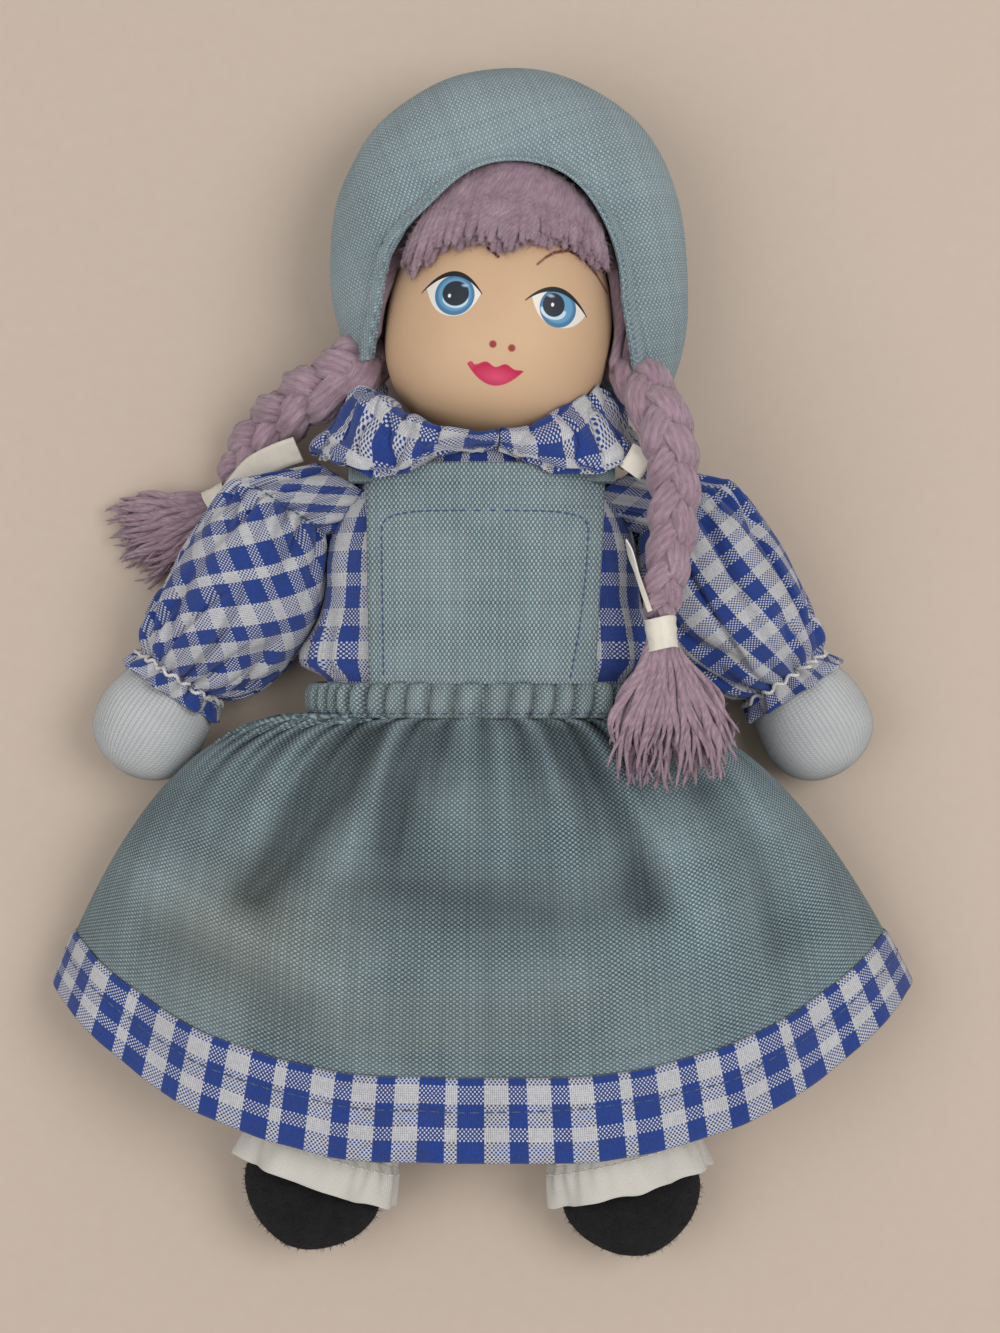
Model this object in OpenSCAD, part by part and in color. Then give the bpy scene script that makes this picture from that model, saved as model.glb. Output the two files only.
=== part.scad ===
// Rag doll with a painted ceramic head, lying on its back on a table.
// +Y points to the head, +X to the right of the picture and +Z up out of the face; the table is z = 0.
// All sizes are in millimetres. Heights along the doll are measured from its waist line.

/* [Cloth] */
// Thickness of one layer of cloth
cloth = 0.8; // [0.5:0.1:1.2]
// Clearance between two layers of cloth
gap = 0.2; // [0.1:0.05:0.4]
// Depth by which the table flattens the back of the doll
press = 0.5; // [0.2:0.1:1]

/* [Body] */
// Width of the stuffed body at the waist
waist_w = 42; // [40:0.5:45]
// Depth of the stuffed body at the waist
waist_d = 21; // [19:0.5:24]
// Width of the stuffed chest
chest_w = 43; // [41:0.5:45]
// Depth of the stuffed chest
chest_d = 25; // [23:0.5:28]
// Length of the chest from the waist line to the neck rim
chest_len = 35.5; // [33:0.5:40]
// Width of the body's open neck rim
rim_w = 22; // [20:0.5:24]
// Depth of the body's open neck rim
rim_d = 18; // [17.6:0.2:20]
// Length of the stuffed seat below the waistband
seat_len = 22; // [18:0.5:26]
// Greatest width of the seat
seat_w = 44; // [40:0.5:48]
// Greatest depth of the seat
seat_d = 20; // [17:0.5:22]

/* [Head] */
// Width of the ceramic head
head_w = 31.6; // [28:0.2:34]
// Height of the head above its widest line
head_up = 19; // [16:0.5:22]
// Height of the head below its widest line, to the chin
head_low = 16.5; // [14:0.5:18]
// Roundness of the jaw: 1 is an egg, less is squarer
jaw = 0.8; // [0.7:0.05:1]
// Wall of the hollow head
head_wall = 2.6; // [1.5:0.1:4]
// Lean of the head to the right
head_tilt = 8; // [0:1:12]
// Distance from the neck rim up to the chin
chin_gap = 0.7; // [0:0.1:3]
// Radius of the ceramic neck
neck_r = 5.5; // [4.5:0.1:6.5]
// Length of the neck below the chin
neck_len = 6.5; // [5.5:0.5:8]
// Radius of the flange that the neck cloth is tied above
flange_r = 7.2; // [6.8:0.1:8]
// Thickness of the flange
flange_t = 2.2; // [1.5:0.1:3]
// Radius of the pouring hole in the neck
bore_r = 3.2; // [2:0.1:4]
// Running clearance between the neck and the cloth tied round it
neck_fit = 0.1; // [0.05:0.05:0.3]
// Radius of the tying and sewing thread
thread_r = 0.5; // [0.3:0.05:0.7]

/* [Hair] */
// Thickness of the yarn wig
hair_t = 2.4; // [1.5:0.1:3]
// Half width of the fringe
fringe_w = 13; // [10:0.5:14]
// Lower edge of the fringe above the widest line of the head
fringe_low = 6; // [4:0.5:9]
// Upper edge of the fringe above the widest line of the head
fringe_top = 15; // [12:0.5:16]
// Radius of the thickest part of the left braid
left_braid_r = 4.1; // [3:0.1:4.5]
// Radius of the thickest part of the right braid
right_braid_r = 3.4; // [2.5:0.1:4]
// Radius of the yarn where the ribbon ties it
tie_r = 1.9; // [1.2:0.1:2.4]
// Length of the yarn tassel below the left tie
left_tassel_len = 18; // [12:0.5:22]
// Length of the yarn tassel below the right tie
right_tassel_len = 23; // [14:0.5:26]
// Half width of the fanned end of the left tassel
left_tassel_w = 6; // [4:0.5:8]
// Half width of the fanned end of the right tassel
right_tassel_w = 8.6; // [4:0.2:10]
// Half thickness of a tassel's fanned end
tassel_t = 1.8; // [1:0.1:2.5]
// Width of the satin ribbon
ribbon_w = 3.2; // [2:0.2:4]
// Thickness of the satin ribbon
ribbon_t = 0.4; // [0.3:0.05:0.6]
// Length of a free ribbon tail
ribbon_tail = 9; // [6:0.5:12]

/* [Bonnet] */
// Width of the bonnet
bonnet_w = 51; // [49:0.2:54]
// Height of the bonnet's crown above the widest line of the head
bonnet_up = 37; // [32:0.5:40]
// Depth of the bonnet below the widest line of the head
bonnet_low = 7; // [5:0.5:9]
// Height of the bonnet's front above its fullest line
bonnet_front = 20; // [17:0.5:23]
// Thickness of the bonnet's folded linen
bonnet_t = 1.2; // [0.8:0.1:1.6]
// Clearance between the wig and the bonnet at the back
bonnet_gap = 0.8; // [0.4:0.1:2]
// Half width of the face opening
face_w = 16.5; // [15:0.5:18]
// Half width of the face opening at the neck
jaw_w = 25; // [22:0.5:28]
// Distance of the bonnet's middle to the right of the head's
bonnet_side = 1.4; // [0:0.2:2]
// Slope of the bonnet's lower edge
bonnet_slope = 0.1; // [0:0.02:0.2]

/* [Blouse] */
// Distance of a shoulder seam from the middle
arm_x = 28; // [27.5:0.5:31]
// Height of a shoulder seam above the waist line
arm_y = 27; // [25:0.5:29]
// Angle of an arm below the horizontal
arm_drop = 57; // [50:1:62]
// Length of a puffed sleeve to its elastic
sleeve_len = 28; // [24:0.5:32]
// Half width of the puff
puff_w = 11.2; // [9:0.2:12]
// Distance by which the puff fills out towards the body
puff_in = 1; // [0:0.1:2]
// Half height of the puff
puff_h = 11.4; // [10:0.2:12]
// Half width of the sleeve at the shoulder seam
armhole_w = 5.6; // [5:0.2:7]
// Half height of the sleeve at the shoulder seam
armhole_h = 7.4; // [6.5:0.2:8]
// Radius of the sleeve at its elastic
cuff_r = 6.6; // [5.8:0.1:7.4]
// Length of the frill past the elastic
cuff_frill = 3; // [2:0.25:4]
// Number of gathers round a sleeve
sleeve_gathers = 9; // [6:1:12]
// Depth of a sleeve gather
gather = 0.45; // [0.2:0.05:0.7]
// Width of a collar lobe
collar_w = 10; // [7:0.5:11]
// Thickness of a collar lobe
collar_t = 2.2; // [1.4:0.1:3]
// Half width of the collar
collar_reach = 19.5; // [18:0.5:21]

// Fullness of the blouse where it hangs over the waistband at the sides
blouse_full = 3.2; // [0:0.2:3.4]

/* [Hands] */
// Half width of a mitten hand
hand_w = 6.6; // [5.5:0.1:7.4]
// Radius of the stuffed arm inside the sleeve
arm_r = 4.4; // [3.8:0.1:4.8]
// Length of an arm from the shoulder seam to the fingertips
arm_len = 42; // [38:0.5:46]

/* [Pinafore] */
// Width of the bib at the waist
bib_w = 31; // [26:0.5:34]
// Width of the bib at its top edge
bib_top_w = 33; // [28:0.5:35]
// Height of the bib's top edge above the waist line
bib_h = 30; // [26:0.5:31]
// Width of a shoulder strap
strap_w = 4.4; // [3:0.2:6]
// Distance of a strap from the middle
strap_x = 16.2; // [15:0.2:17]
// Height of the gathered waistband
band_h = 5; // [4:0.2:6]
// Thickness of the gathered waistband
band_t = 2; // [1.6:0.1:2.6]
// Number of gathers round the waistband
band_gathers = 16; // [10:1:20]
// Width of the elastic in the waistband
elastic_w = 2.4; // [1.6:0.1:3]
// Thickness of the elastic
elastic_t = 0.7; // [0.4:0.05:0.9]
// Half width of the skirt at its hem
skirt_w = 62; // [56:0.5:68]
// Length of the skirt in the middle, below the waistband
skirt_len = 62; // [56:0.5:68]
// Rise of the hem from the middle to the sides
hem_rise = 24; // [18:0.5:28]
// Fullness of the skirt over its sides: 1 is a straight cone, less is fuller
skirt_full = 0.53; // [0.5:0.01:0.65]
// Height of the skirt's front over the table at the hem
skirt_h = 21.5; // [20.5:0.5:25]
// Height of the side fold over the table
side_fold = 2.6; // [2:0.1:4]
// Width of the gingham hem band
hem_band_w = 12; // [8:0.5:15]
// Number of folds across the front of the skirt
skirt_folds = 7; // [5:1:8]
// Depth of a skirt fold at the hem
fold_depth = 0.8; // [0.4:0.1:1.8]
// Depth of the skirt's deepest long fold
main_fold = 4.6; // [2:0.2:5]

/* [Legs] */
// Distance of a hip from the middle
hip_x = 11.5; // [10.5:0.5:13]
// Splay of the left leg
left_splay = 19; // [16:0.5:20]
// Splay of the right leg
right_splay = 14.5; // [12:0.5:18]
// Radius of a stuffed leg
leg_r = 6; // [5:0.2:6.6]
// Length of a leg from the hip to the shoe
leg_len = 31.5; // [28:0.5:34]
// Length of a shoe
shoe_len = 17.5; // [15:0.5:20]
// Half width of a shoe
shoe_w = 10; // [8.4:0.2:10.4]
// Half height of a shoe
shoe_h = 7.4; // [6.8:0.1:7.6]
// Half width of a pantaloon leg at its hem
pant_w = 11.6; // [11:0.2:12.4]
// Half height of a pantaloon leg
pant_h = 7.8; // [7.6:0.1:8.4]
// Length of the stitched frill under a pantaloon leg
frill_len = 6; // [4:0.5:8]
// Number of gathers round a frill
frill_gathers = 8; // [6:1:10]

/* [Hidden] */
$fn = 48;
LINEN = "#8fa6ac";
GINGHAM = "#7f8fc2";
WHITE = "#e9e6e0";
YARN = "#b491a5";

// Layers of cloth over the stuffed body: the blouse first, then the pinafore
blouse_in = gap;
blouse_out = gap + cloth;
pina_in = blouse_out + gap;
pina_out = pina_in + cloth;
band_out = pina_in + band_t;

// Heights over the table
body_z = chest_d / 2 + pina_out - press;
head_z = head_w / 2 + hair_t + bonnet_gap + bonnet_t - press;
bonnet_z = 12;

// Places along the doll, from the waist line
band_low = -band_h / 2;
skirt_top = band_low - gap;
seat_top = skirt_top - gap;
seat_low = seat_top - seat_len;
neck_flange = head_low + neck_len;
head_rise = head_low + chin_gap;
head_at = [sin(head_tilt), cos(head_tilt), 0] * head_rise + [0, chest_len, head_z];
hip_y = seat_low - leg_r - 4 * gap - cloth;
shoe_tip = hip_y - cos(min(left_splay, right_splay)) * (leg_len + shoe_len);
bonnet_tip = head_at.y + bonnet_up;
// The waist line sits so that the origin is midway between the bonnet's tip and the shoes
waist_y = -(bonnet_tip + shoe_tip) / 2;

// Hinge line of the shoulder seam and of the waist, on the front of the doll
seam_z = body_z + armhole_h + thread_r + gap;
waist_seam_z = body_z + chest_hd(band_h / 2) + band_out + thread_r + gap;

// Places chosen along each braid, as [x, y, z] from the waist line
left_route = [[-17.5, 47.5, 23.5], [-20.5, 45.4, 21], [-26, 42.4, 14], [-31, 38.6, 8], [-34.8, 33.8, 5],
    [-36.4, 29.6, 3.6]];
left_tassel_to = [-52.5, 21.5, 2.2];
right_route = [[21, 46.6, 24], [22.8, 43.4, 27.5], [25, 37.2, 32], [26.2, 30.4, 31.5], [26, 22.6, 30],
    [25, 15.4, 29], [24.4, 11.6, 28.5]];
right_tassel_to = [26.5, -10, 30.5];

function power(v, e) = sign(v) * pow(abs(v), e);
function mix(a, b, u) = a + (b - a) * u;
function unit(v) = v / norm(v);

// A ring of points round the y axis; sides may differ above and below the middle
function oval(y, w, up, down, cz, n, cx = 0, e = 1) = [for (i = [0 : n - 1])
    let (a = 360 * i / n)
    [cx + w * power(cos(a), e), y, cz + (sin(a) < 0 ? down : up) * power(sin(a), e)]];

// A ring of points round the x axis, with gathers of the given depth and count
function hoop(x, w, h, cz, n, deep = 0, count = 0, cy = 0) = [for (i = [0 : n - 1])
    let (a = 360 * i / n, k = deep * cos(count * a))
    [x, cy + (w + k) * cos(a), cz + (h + k) * sin(a)]];

// A solid skinned over rings that turn the same way; closed joins the last ring to the first
module skin(rings, closed = false) {
    n = len(rings[0]);
    m = len(rings);
    last = closed ? m - 1 : m - 2;
    sides = [for (j = [0 : last], i = [0 : n - 1])
        let (a = j * n + i, b = j * n + (i + 1) % n, c = ((j + 1) % m) * n + (i + 1) % n,
            d = ((j + 1) % m) * n + i)
        each [[a, d, c], [a, c, b]]];
    ends = closed ? [] : [for (k = [0 : n / 2 - 2])
        let (a = k, b = k + 1, c = n - 2 - k, d = n - 1 - k, t = (m - 1) * n)
        each [[a, b, c], [a, c, d], [t + a, t + c, t + b], [t + a, t + d, t + c]]];
    polyhedron([for (r = rings) each r], concat(sides, ends));
}

function reversed(v) = [for (i = [len(v) - 1 : -1 : 0]) v[i]];

// Shape of the stuffed chest at a height y over the waist line
function share(y) = max(0, min(1, (y - band_low) / (chest_len - band_low)));
function slope_in(u) = u < 0.5 ? 1 : 1 - pow(2 * u - 1, 2.2);
function fuller(a, b, u) = mix(a, b, sin(90 * min(1, 2 * u))) / 2;
function chest_hw(y) = mix(rim_w / 2, fuller(waist_w, chest_w, share(y)), slope_in(share(y)));
function chest_hd(y) = mix(rim_d / 2, fuller(waist_d, chest_d, share(y)), slope_in(share(y)));
function chest_z(y) = mix(body_z, head_z, pow(share(y), 3));
function chest_ring(y, off, n) = oval(y, chest_hw(y) + off, chest_hd(y) + off, chest_hd(y) + off,
    chest_z(y), n, e = 0.9);
chest_steps = [for (u = [1, 0.95, 0.88, 0.77, 0.63, 0.5, 0.3, 0]) mix(band_low + gap, chest_len, u)];

module placed() { translate([0, waist_y, 0]) children(); }
module above_table() {
    difference() {
        children();
        translate([-100, -150, -20]) cube([200, 300, 20]);
    }
}
module on_head() { placed() translate(head_at) rotate([0, 0, -head_tilt]) children(); }
module along_neck(y) { on_head() translate([0, y, 0]) rotate([-90, 0, 0]) children(); }
module on_side(side) { if (side < 0) mirror([1, 0, 0]) children(); else children(); }
module on_arm(side) { placed() on_side(side) translate([arm_x, arm_y, 0]) rotate(-arm_drop) children(); }
module on_leg(side) {
    placed() on_side(side) translate([hip_x, hip_y, 0])
        rotate((side < 0 ? left_splay : right_splay) - 90) children();
}

// Room for the neck, its flange and the cloth tied round them
module neck_room() {
    along_neck(-neck_flange - flange_t - 2 * gap)
        cylinder(r = flange_r + gap + cloth, h = neck_len + flange_t + head_low);
}

// Body
module chest_bag() {
    color(WHITE) placed() skin(concat([for (y = chest_steps) chest_ring(y, 0, 24)],
        [for (y = reversed(chest_steps)) chest_ring(y, -cloth, 24)]), true);
}
module chest_stuffing() {
    color("#f4f1ea") difference() {
        placed() skin([for (y = chest_steps) chest_ring(y, -cloth - gap, 24)]);
        neck_room();
    }
}
module neck_cloth() {
    color(WHITE) along_neck(-neck_flange + gap) difference() {
        cylinder(r = neck_r + neck_fit + cloth, h = neck_len - 4 * gap);
        translate([0, 0, -1]) cylinder(r = neck_r + neck_fit, h = neck_len + 2);
    }
}
module neck_thread() {
    color("#d8d2c4") along_neck(-neck_flange + neck_len / 2)
        rotate_extrude() translate([neck_r + neck_fit + cloth + thread_r + gap / 4, 0])
            circle(thread_r, $fn = 16);
}
// The blouse hangs a little over the waistband at both sides, below the armpits
hang_low = band_h / 2 + 2 * gap;
blouse_hang = [[6.5, 0], [4.8, 0.5], [2.7, 1], [1.1, 0.95], [0, 0]];
function hang(y) = lookup(y - hang_low, blouse_hang) * blouse_full;
function bodice_ring(y, off, n) = let (ring = chest_ring(y, off, n)) [for (i = [0 : n - 1])
    ring[i] + [hang(y) * power(cos(360 * i / n), 5), 0, 0]];
module bodice() {
    high = [for (y = chest_steps) if (y > hang_low + 7) y];
    steps = concat(high, [for (h = blouse_hang) hang_low + h[0]], [band_low + gap]);
    color(GINGHAM) above_table() placed() skin(concat([for (y = steps) bodice_ring(y, blouse_out, 32)],
        [for (y = reversed(steps)) bodice_ring(y, blouse_in, 32)]), true);
}

// One collar lobe lies from the middle of the front, over the shoulder, to the back
collar_rise = 12.6;
collar_drop = 4;
collar_lift = 6;
collar_back = 0.08;
module collar_lobe() {
    n = 10;
    rings = [for (p = [6 : 12 : 114])
        let (swell = pow(sin(min(90, 18 + p)), 0.8),
            mid = [collar_reach * sin(p), chest_len - collar_drop + collar_lift * pow(sin(min(p, 90)), 1.3)
                    + collar_back * max(0, p - 90),
                head_z + collar_rise * power(cos(p), 0.8)],
            out = [sin(p), 0, cos(p)],
            lie = mix(72, 55, pow(sin(min(90, p)), 2)),
            flap = out * cos(lie) - [0, 1, 0] * sin(lie),
            up = out * sin(lie) + [0, 1, 0] * cos(lie))
        [for (i = [0 : n - 1])
            let (a = 360 * i / n)
            mid + flap * (collar_w / 2 * swell * cos(a)) + up * (collar_t / 2 * sin(a))]];
    skin(rings);
}
module left_collar() { color(GINGHAM) placed() on_side(-1) collar_lobe(); }
module right_collar() { color(GINGHAM) placed() collar_lobe(); }

// Pinafore
module bib() {
    steps = [for (u = [1 : -0.125 : 0]) mix(band_h / 2 + gap, bib_h, u)];
    n = 12;
    color(LINEN) placed() skin([for (y = steps)
        let (half = mix(bib_w, bib_top_w, share(y)) / 2)
        concat([for (i = [0 : n]) on_chest(mix(half, -half, i / n), y, pina_out + gap)],
            [for (i = [n : -1 : 0]) on_chest(mix(half, -half, i / n), y, pina_in + gap)])]);
}
// A point of the chest's front, or of its back, at a distance x from the middle
function on_chest(x, y, off, face = 1) =
    let (c = power(min(1, abs(x) / (chest_hw(y) + off)), 1 / 0.9), s = sqrt(max(0, 1 - c * c)))
    [x, y, chest_z(y) + face * (chest_hd(y) + off) * pow(s, 0.9)];

module strap() {
    low = band_h / 2 + gap;
    bend_y = chest_len - 3;
    edge = strap_x - strap_w / 2;
    // The strap leaves the bib, crosses the shoulder in a round bend and runs down the back
    front = [for (u = [0, 0.5, 1]) [mix(bib_h + gap, bend_y, u), 1]];
    back = [for (u = [0 : 0.2 : 1]) [mix(bend_y, low, u), -1]];
    path = [for (p = concat(front, back))
        let (q = on_chest(edge, p[0], pina_in + 2 * gap, p[1]))
        [[strap_x, q.y, q.z], [0, 0, p[1]]]];
    bend_c = (path[2][0] + path[3][0]) / 2;
    bend_r = (path[2][0].z - path[3][0].z) / 2;
    over_y = chest_len - bend_y + 2 * gap;
    bend = [for (a = [-70 : 20 : 70])
        [bend_c + [0, over_y * cos(a), -bend_r * sin(a)], unit([0, cos(a) / over_y, -sin(a) / bend_r])]];
    full = concat([path[0], path[1], path[2]], bend, [for (i = [3 : len(path) - 1]) path[i]]);
    x = [-strap_w / 2, strap_w / 2];
    skin([for (p = full)
        [p[0] + [x[0], 0, 0] + p[1] * cloth, p[0] + [x[1], 0, 0] + p[1] * cloth,
            p[0] + [x[1], 0, 0], p[0] + [x[0], 0, 0]]]);
}
module left_strap() { color(LINEN) above_table() placed() on_side(-1) strap(); }
module right_strap() { color(LINEN) above_table() placed() strap(); }

// Rings of the waistband: y and the distance out from the body, gathered on the outside
function band_ring(y, off, n, deep = 0) = [for (i = [0 : n - 1])
    let (a = 360 * i / n, o = off + deep * cos(band_gathers * a))
    [(band_hw + o) * power(cos(a), 0.9), y, body_z + (band_hd + o) * power(sin(a), 0.9)]];
band_hw = chest_hw(band_h / 2);
band_hd = chest_hd(band_h / 2);
groove_out = pina_in + elastic_t + 2 * gap;
band_thin = 0.25;
module waistband() {
    n = 64;
    h = band_h / 2;
    e = elastic_w / 2 + gap;
    bulge = pina_in + cloth;
    color(LINEN) above_table() placed() skin([
        band_ring(h, bulge, n, band_thin), band_ring(h * 0.5, band_out - band_thin, n, band_thin),
        band_ring(-h * 0.5, band_out - band_thin, n, band_thin), band_ring(-h, bulge, n, band_thin),
        band_ring(-h, pina_in, n), band_ring(-e, pina_in, n), band_ring(-e, groove_out, n),
        band_ring(e, groove_out, n), band_ring(e, pina_in, n), band_ring(h, pina_in, n)], true);
}
module waist_elastic() {
    h = elastic_w / 2;
    color("#f2f0ea") placed() skin([
        band_ring(h, pina_in + elastic_t + gap, 32), band_ring(-h, pina_in + elastic_t + gap, 32),
        band_ring(-h, pina_in + gap, 32), band_ring(h, pina_in + gap, 32)], true);
}
// The gathering thread along the front of the waist, on which the lap bends
module waist_thread() {
    color("#3c4a66") placed() translate([-waist_w / 4, skirt_top, waist_seam_z])
        rotate([0, 90, 0]) cylinder(r = thread_r, h = waist_w / 2, $fn = 24);
}

// Lap: the stuffed seat, the pantaloon seat and the skirt
function seat_ring(u, off, n) =
    let (s = sqrt(max(0, 1 - pow(u, 6))) * mix(0.93, 1, sin(90 * min(1, 2 * u))))
    oval(mix(seat_top, seat_low, u) - (u > 0.9 ? off : 0), s * seat_w / 2 + off, s * seat_d / 2 + off,
        s * seat_d / 2 + off, seat_d / 2 + 2 * (cloth + gap) + press, n, e = 0.9);
seat_steps = [0, 0.25, 0.5, 0.75, 0.9, 0.97];
module seat_bag() {
    color(WHITE) placed() skin(concat([for (u = seat_steps) seat_ring(u, 0, 24)],
        [for (u = reversed(seat_steps)) seat_ring(u, -cloth, 24)]), true);
}
module seat_stuffing() {
    color("#f4f1ea") placed() skin([for (u = seat_steps) seat_ring(u, -cloth - gap, 24)]);
}
module pantaloon_seat() {
    color(WHITE) placed() skin(concat([for (u = seat_steps) seat_ring(u, gap + cloth, 24)],
        [for (u = reversed(seat_steps)) seat_ring(u, gap, 24)]), true);
}

// Long folds of the skirt: places on a line as shares of the skirt's half width and length, then the
// half width of the fold and its height as a share of the deepest one
long_folds = [
    [[[-0.29, 0.02], [-0.33, 0.16], [-0.41, 0.33], [-0.5, 0.42]], 4.4, -1],
    [[[-0.22, 0.04], [-0.23, 0.18], [-0.31, 0.36], [-0.39, 0.46]], 4.2, 0.41],
    [[[-0.82, 0.28], [-0.69, 0.36], [-0.54, 0.45], [-0.34, 0.6]], 4.2, 0.48],
    [[[-0.32, 0.42], [-0.14, 0.45], [0.18, 0.42], [0.34, 0.38]], 5.5, -0.33],
    [[[0.18, 0.04], [0.25, 0.15], [0.32, 0.26], [0.35, 0.39]], 3, -0.61],
    [[[0.25, 0.05], [0.39, 0.28], [0.47, 0.47]], 4.2, 0.33],
    [[[0.53, 0.15], [0.61, 0.34], [0.61, 0.52]], 4, -0.39]];
function sum(v) = v * [for (i = v) 1];
function off_line(p, a, b) = let (d = b - a, t = max(0, min(1, (p - a) * d / (d * d)))) norm(p - a - t * d);
function on_skirt(p) = [p[0] * skirt_w, p[1] * skirt_len];
function long_fold(x, y) = main_fold * sum([for (f = long_folds)
    let (line = [for (p = f[0]) on_skirt(p)],
        away = min([for (i = [0 : len(line) - 2]) off_line([x, skirt_top - y], line[i], line[i + 1])]))
    f[2] * exp(-pow(away / f[1], 2))]);

// The skirt runs from the waistband (v = 0) to the hem (v = 1), flat on the table at the back
function skirt_point(a, v, off) =
    let (front = max(0, sin(a)),
        top = [(band_hw + band_out + off) * power(cos(a), 0.9), skirt_top,
            body_z + (band_hd + band_out + off) * power(sin(a), 0.9)],
        wave = fold_depth * pow(v, 0.7) * pow(front, 0.6) * cos(2 * skirt_folds * a),
        low = [(skirt_w + off) * power(cos(a), 0.85),
            skirt_top - skirt_len + hem_rise * pow(abs(cos(a)), 2.4),
            sin(a) < 0 ? side_fold + (side_fold + press + off) * power(sin(a), 0.4)
                : side_fold + (skirt_h - side_fold + off) * power(sin(a), 0.7)],
        belly = 2.5 * sin(180 * v) * front,
        drop = sin(a) < 0 ? pow(v, 0.35) : v,
        x = mix(top.x, low.x, pow(v, skirt_full + 0.04 * cos(a))),
        y = mix(top.y, low.y, v),
        fold = long_fold(x, y) * min(1, v / 0.06) * min(1, 5 - 5 * v) * sqrt(front))
    [x, y, mix(top.z, low.z, drop) + belly + wave + fold];
function skirt_ring(v, off, n) = [for (i = [0 : n - 1]) skirt_point(360 * i / n, v, off)];
hem_start = 1 - hem_band_w / skirt_len;
skirt_n = 112;
module skirt() {
    steps = [for (u = [0, 0.05, 0.12, 0.2, 0.3, 0.42, 0.55, 0.7, 0.85, 1]) u * hem_start];
    color(LINEN) above_table() placed() skin(concat([for (v = steps) skirt_ring(v, 0, skirt_n)],
        [for (v = reversed(steps)) skirt_ring(v, -cloth, skirt_n)]), true);
}
module hem_band() {
    steps = [for (u = [0, 0.5, 1]) mix(hem_start, 1, u) + (u == 0 ? gap / skirt_len : 0)];
    color(GINGHAM) above_table() placed() skin(concat([for (v = steps) skirt_ring(v, gap, skirt_n)],
        [for (v = reversed(steps)) skirt_ring(v, -cloth, skirt_n)]), true);
}

// Head
function egg(o, a) = a < 0 ? [(head_w / 2 + o) * pow(cos(a), jaw), (head_low + o) * power(sin(a), jaw)]
    : [(head_w / 2 + o) * cos(a), (head_up + o) * sin(a)];
function jaw_at(r, o) = -acos(pow(r / (head_w / 2 + o), 1 / jaw));
module head() {
    chin = jaw_at(neck_r, 0);
    hole = jaw_at(bore_r, -head_wall);
    steps = 20;
    low = -neck_flange - flange_t;
    color("#dcb48a") on_head() rotate([-90, 0, 0]) rotate_extrude() polygon(concat(
        [[bore_r, low], [flange_r, low], [flange_r, -neck_flange], [neck_r, -neck_flange]],
        [for (i = [0 : steps]) egg(0, mix(chin, 90, i / steps))],
        [for (i = [steps : -1 : 0]) egg(-head_wall, mix(hole, 90, i / steps))]));
}
module hair_shell(inset = 0) {
    steps = 10;
    on_head() rotate([-90, 0, 0]) rotate_extrude() polygon(concat(
        [for (i = [0 : steps]) egg(hair_t - inset, mix(-12, 90, i / steps))],
        [for (i = [steps : -1 : 0]) egg(gap, mix(-12, 90, i / steps))]));
}
module wig() {
    color(YARN) difference() {
        hair_shell(gap / 2);
        on_head() translate([-fringe_w - 3 * gap, -30, -1])
            cube([2 * fringe_w + 6 * gap, 30 + fringe_top + gap, 40]);
        on_head() translate([-30, -30, 3]) cube([60, 30 + fringe_low, 40]);
    }
}
module fringe() {
    color(YARN) intersection() {
        hair_shell();
        on_head() translate([-fringe_w, fringe_low, 2]) cube([2 * fringe_w, fringe_top - fringe_low, 40]);
    }
}

// The bonnet's half width at a height h over the widest line of the head
function bonnet_hw(h) = h > 6
    ? bonnet_w / 2 * sqrt(max(0, 1 - pow((h - 6) / (bonnet_up - 6), 2.6)))
    : bonnet_w / 2 - 3.5 * pow((6 - h) / 14, 2);
function bonnet_ring(h, off, n) =
    let (w = bonnet_hw(h), k = w / (bonnet_w / 2))
    [for (p = oval(head_at.y + h - (h > 20 ? off : 0), max(0.4, w - off),
        max(0.4, bonnet_front * pow(k, 0.8) - off), max(0.4, (bonnet_z + press) * pow(k, 0.6) - off),
        bonnet_z, n))
        [p.x + head_at.x + bonnet_side, p.y - bonnet_slope * p.x * max(0, min(1, 1.2 - h / 20)), p.z]];
module bonnet() {
    steps = [for (u = [1, 0.985, 0.95, 0.87, 0.74, 0.56, 0.35, 0.15, 0])
        mix(-bonnet_low, bonnet_up - 0.05, u)];
    arch = concat([for (a = [0 : 12 : 180]) [face_w * cos(a), face_w * sin(a)]],
        [[-jaw_w, -13], [-jaw_w, -40], [jaw_w, -40], [jaw_w, -13]]);
    color(LINEN) above_table() difference() {
        placed() skin(concat([for (h = steps) bonnet_ring(h, 0, 32)],
            [for (h = reversed(steps)) bonnet_ring(h, bonnet_t, 32)]));
        placed() translate([head_at.x + 0.6, head_at.y + 4.5, 15]) linear_extrude(60) polygon(arch);
    }
}

// Yarn: a tube along chosen places, thickest in the middle
function frame_at(v, i) =
    let (d = unit(v[min(i + 1, len(v) - 1)] - v[max(i - 1, 0)]), s = unit(cross(d, [0, 0, 1])))
    [s, cross(s, d), d];
module yarn(route, to, r, n = 10) {
    m = len(route) - 1;
    skin([for (i = [0 : m])
        let (f = i < m ? frame_at(route, i) : frame_at([route[m], to], 0),
            k = mix(tie_r, r, pow(sin(mix(38, 180, i / m)), 0.5)))
        [for (j = [0 : n - 1]) route[i] + k * (cos(360 * j / n) * f[1] + sin(360 * j / n) * f[0])]]);
}
module left_braid() { color(YARN) placed() yarn(left_route, left_tassel_to, left_braid_r); }
module right_braid() { color(YARN) placed() yarn(right_route, right_tassel_to, right_braid_r); }

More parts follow.
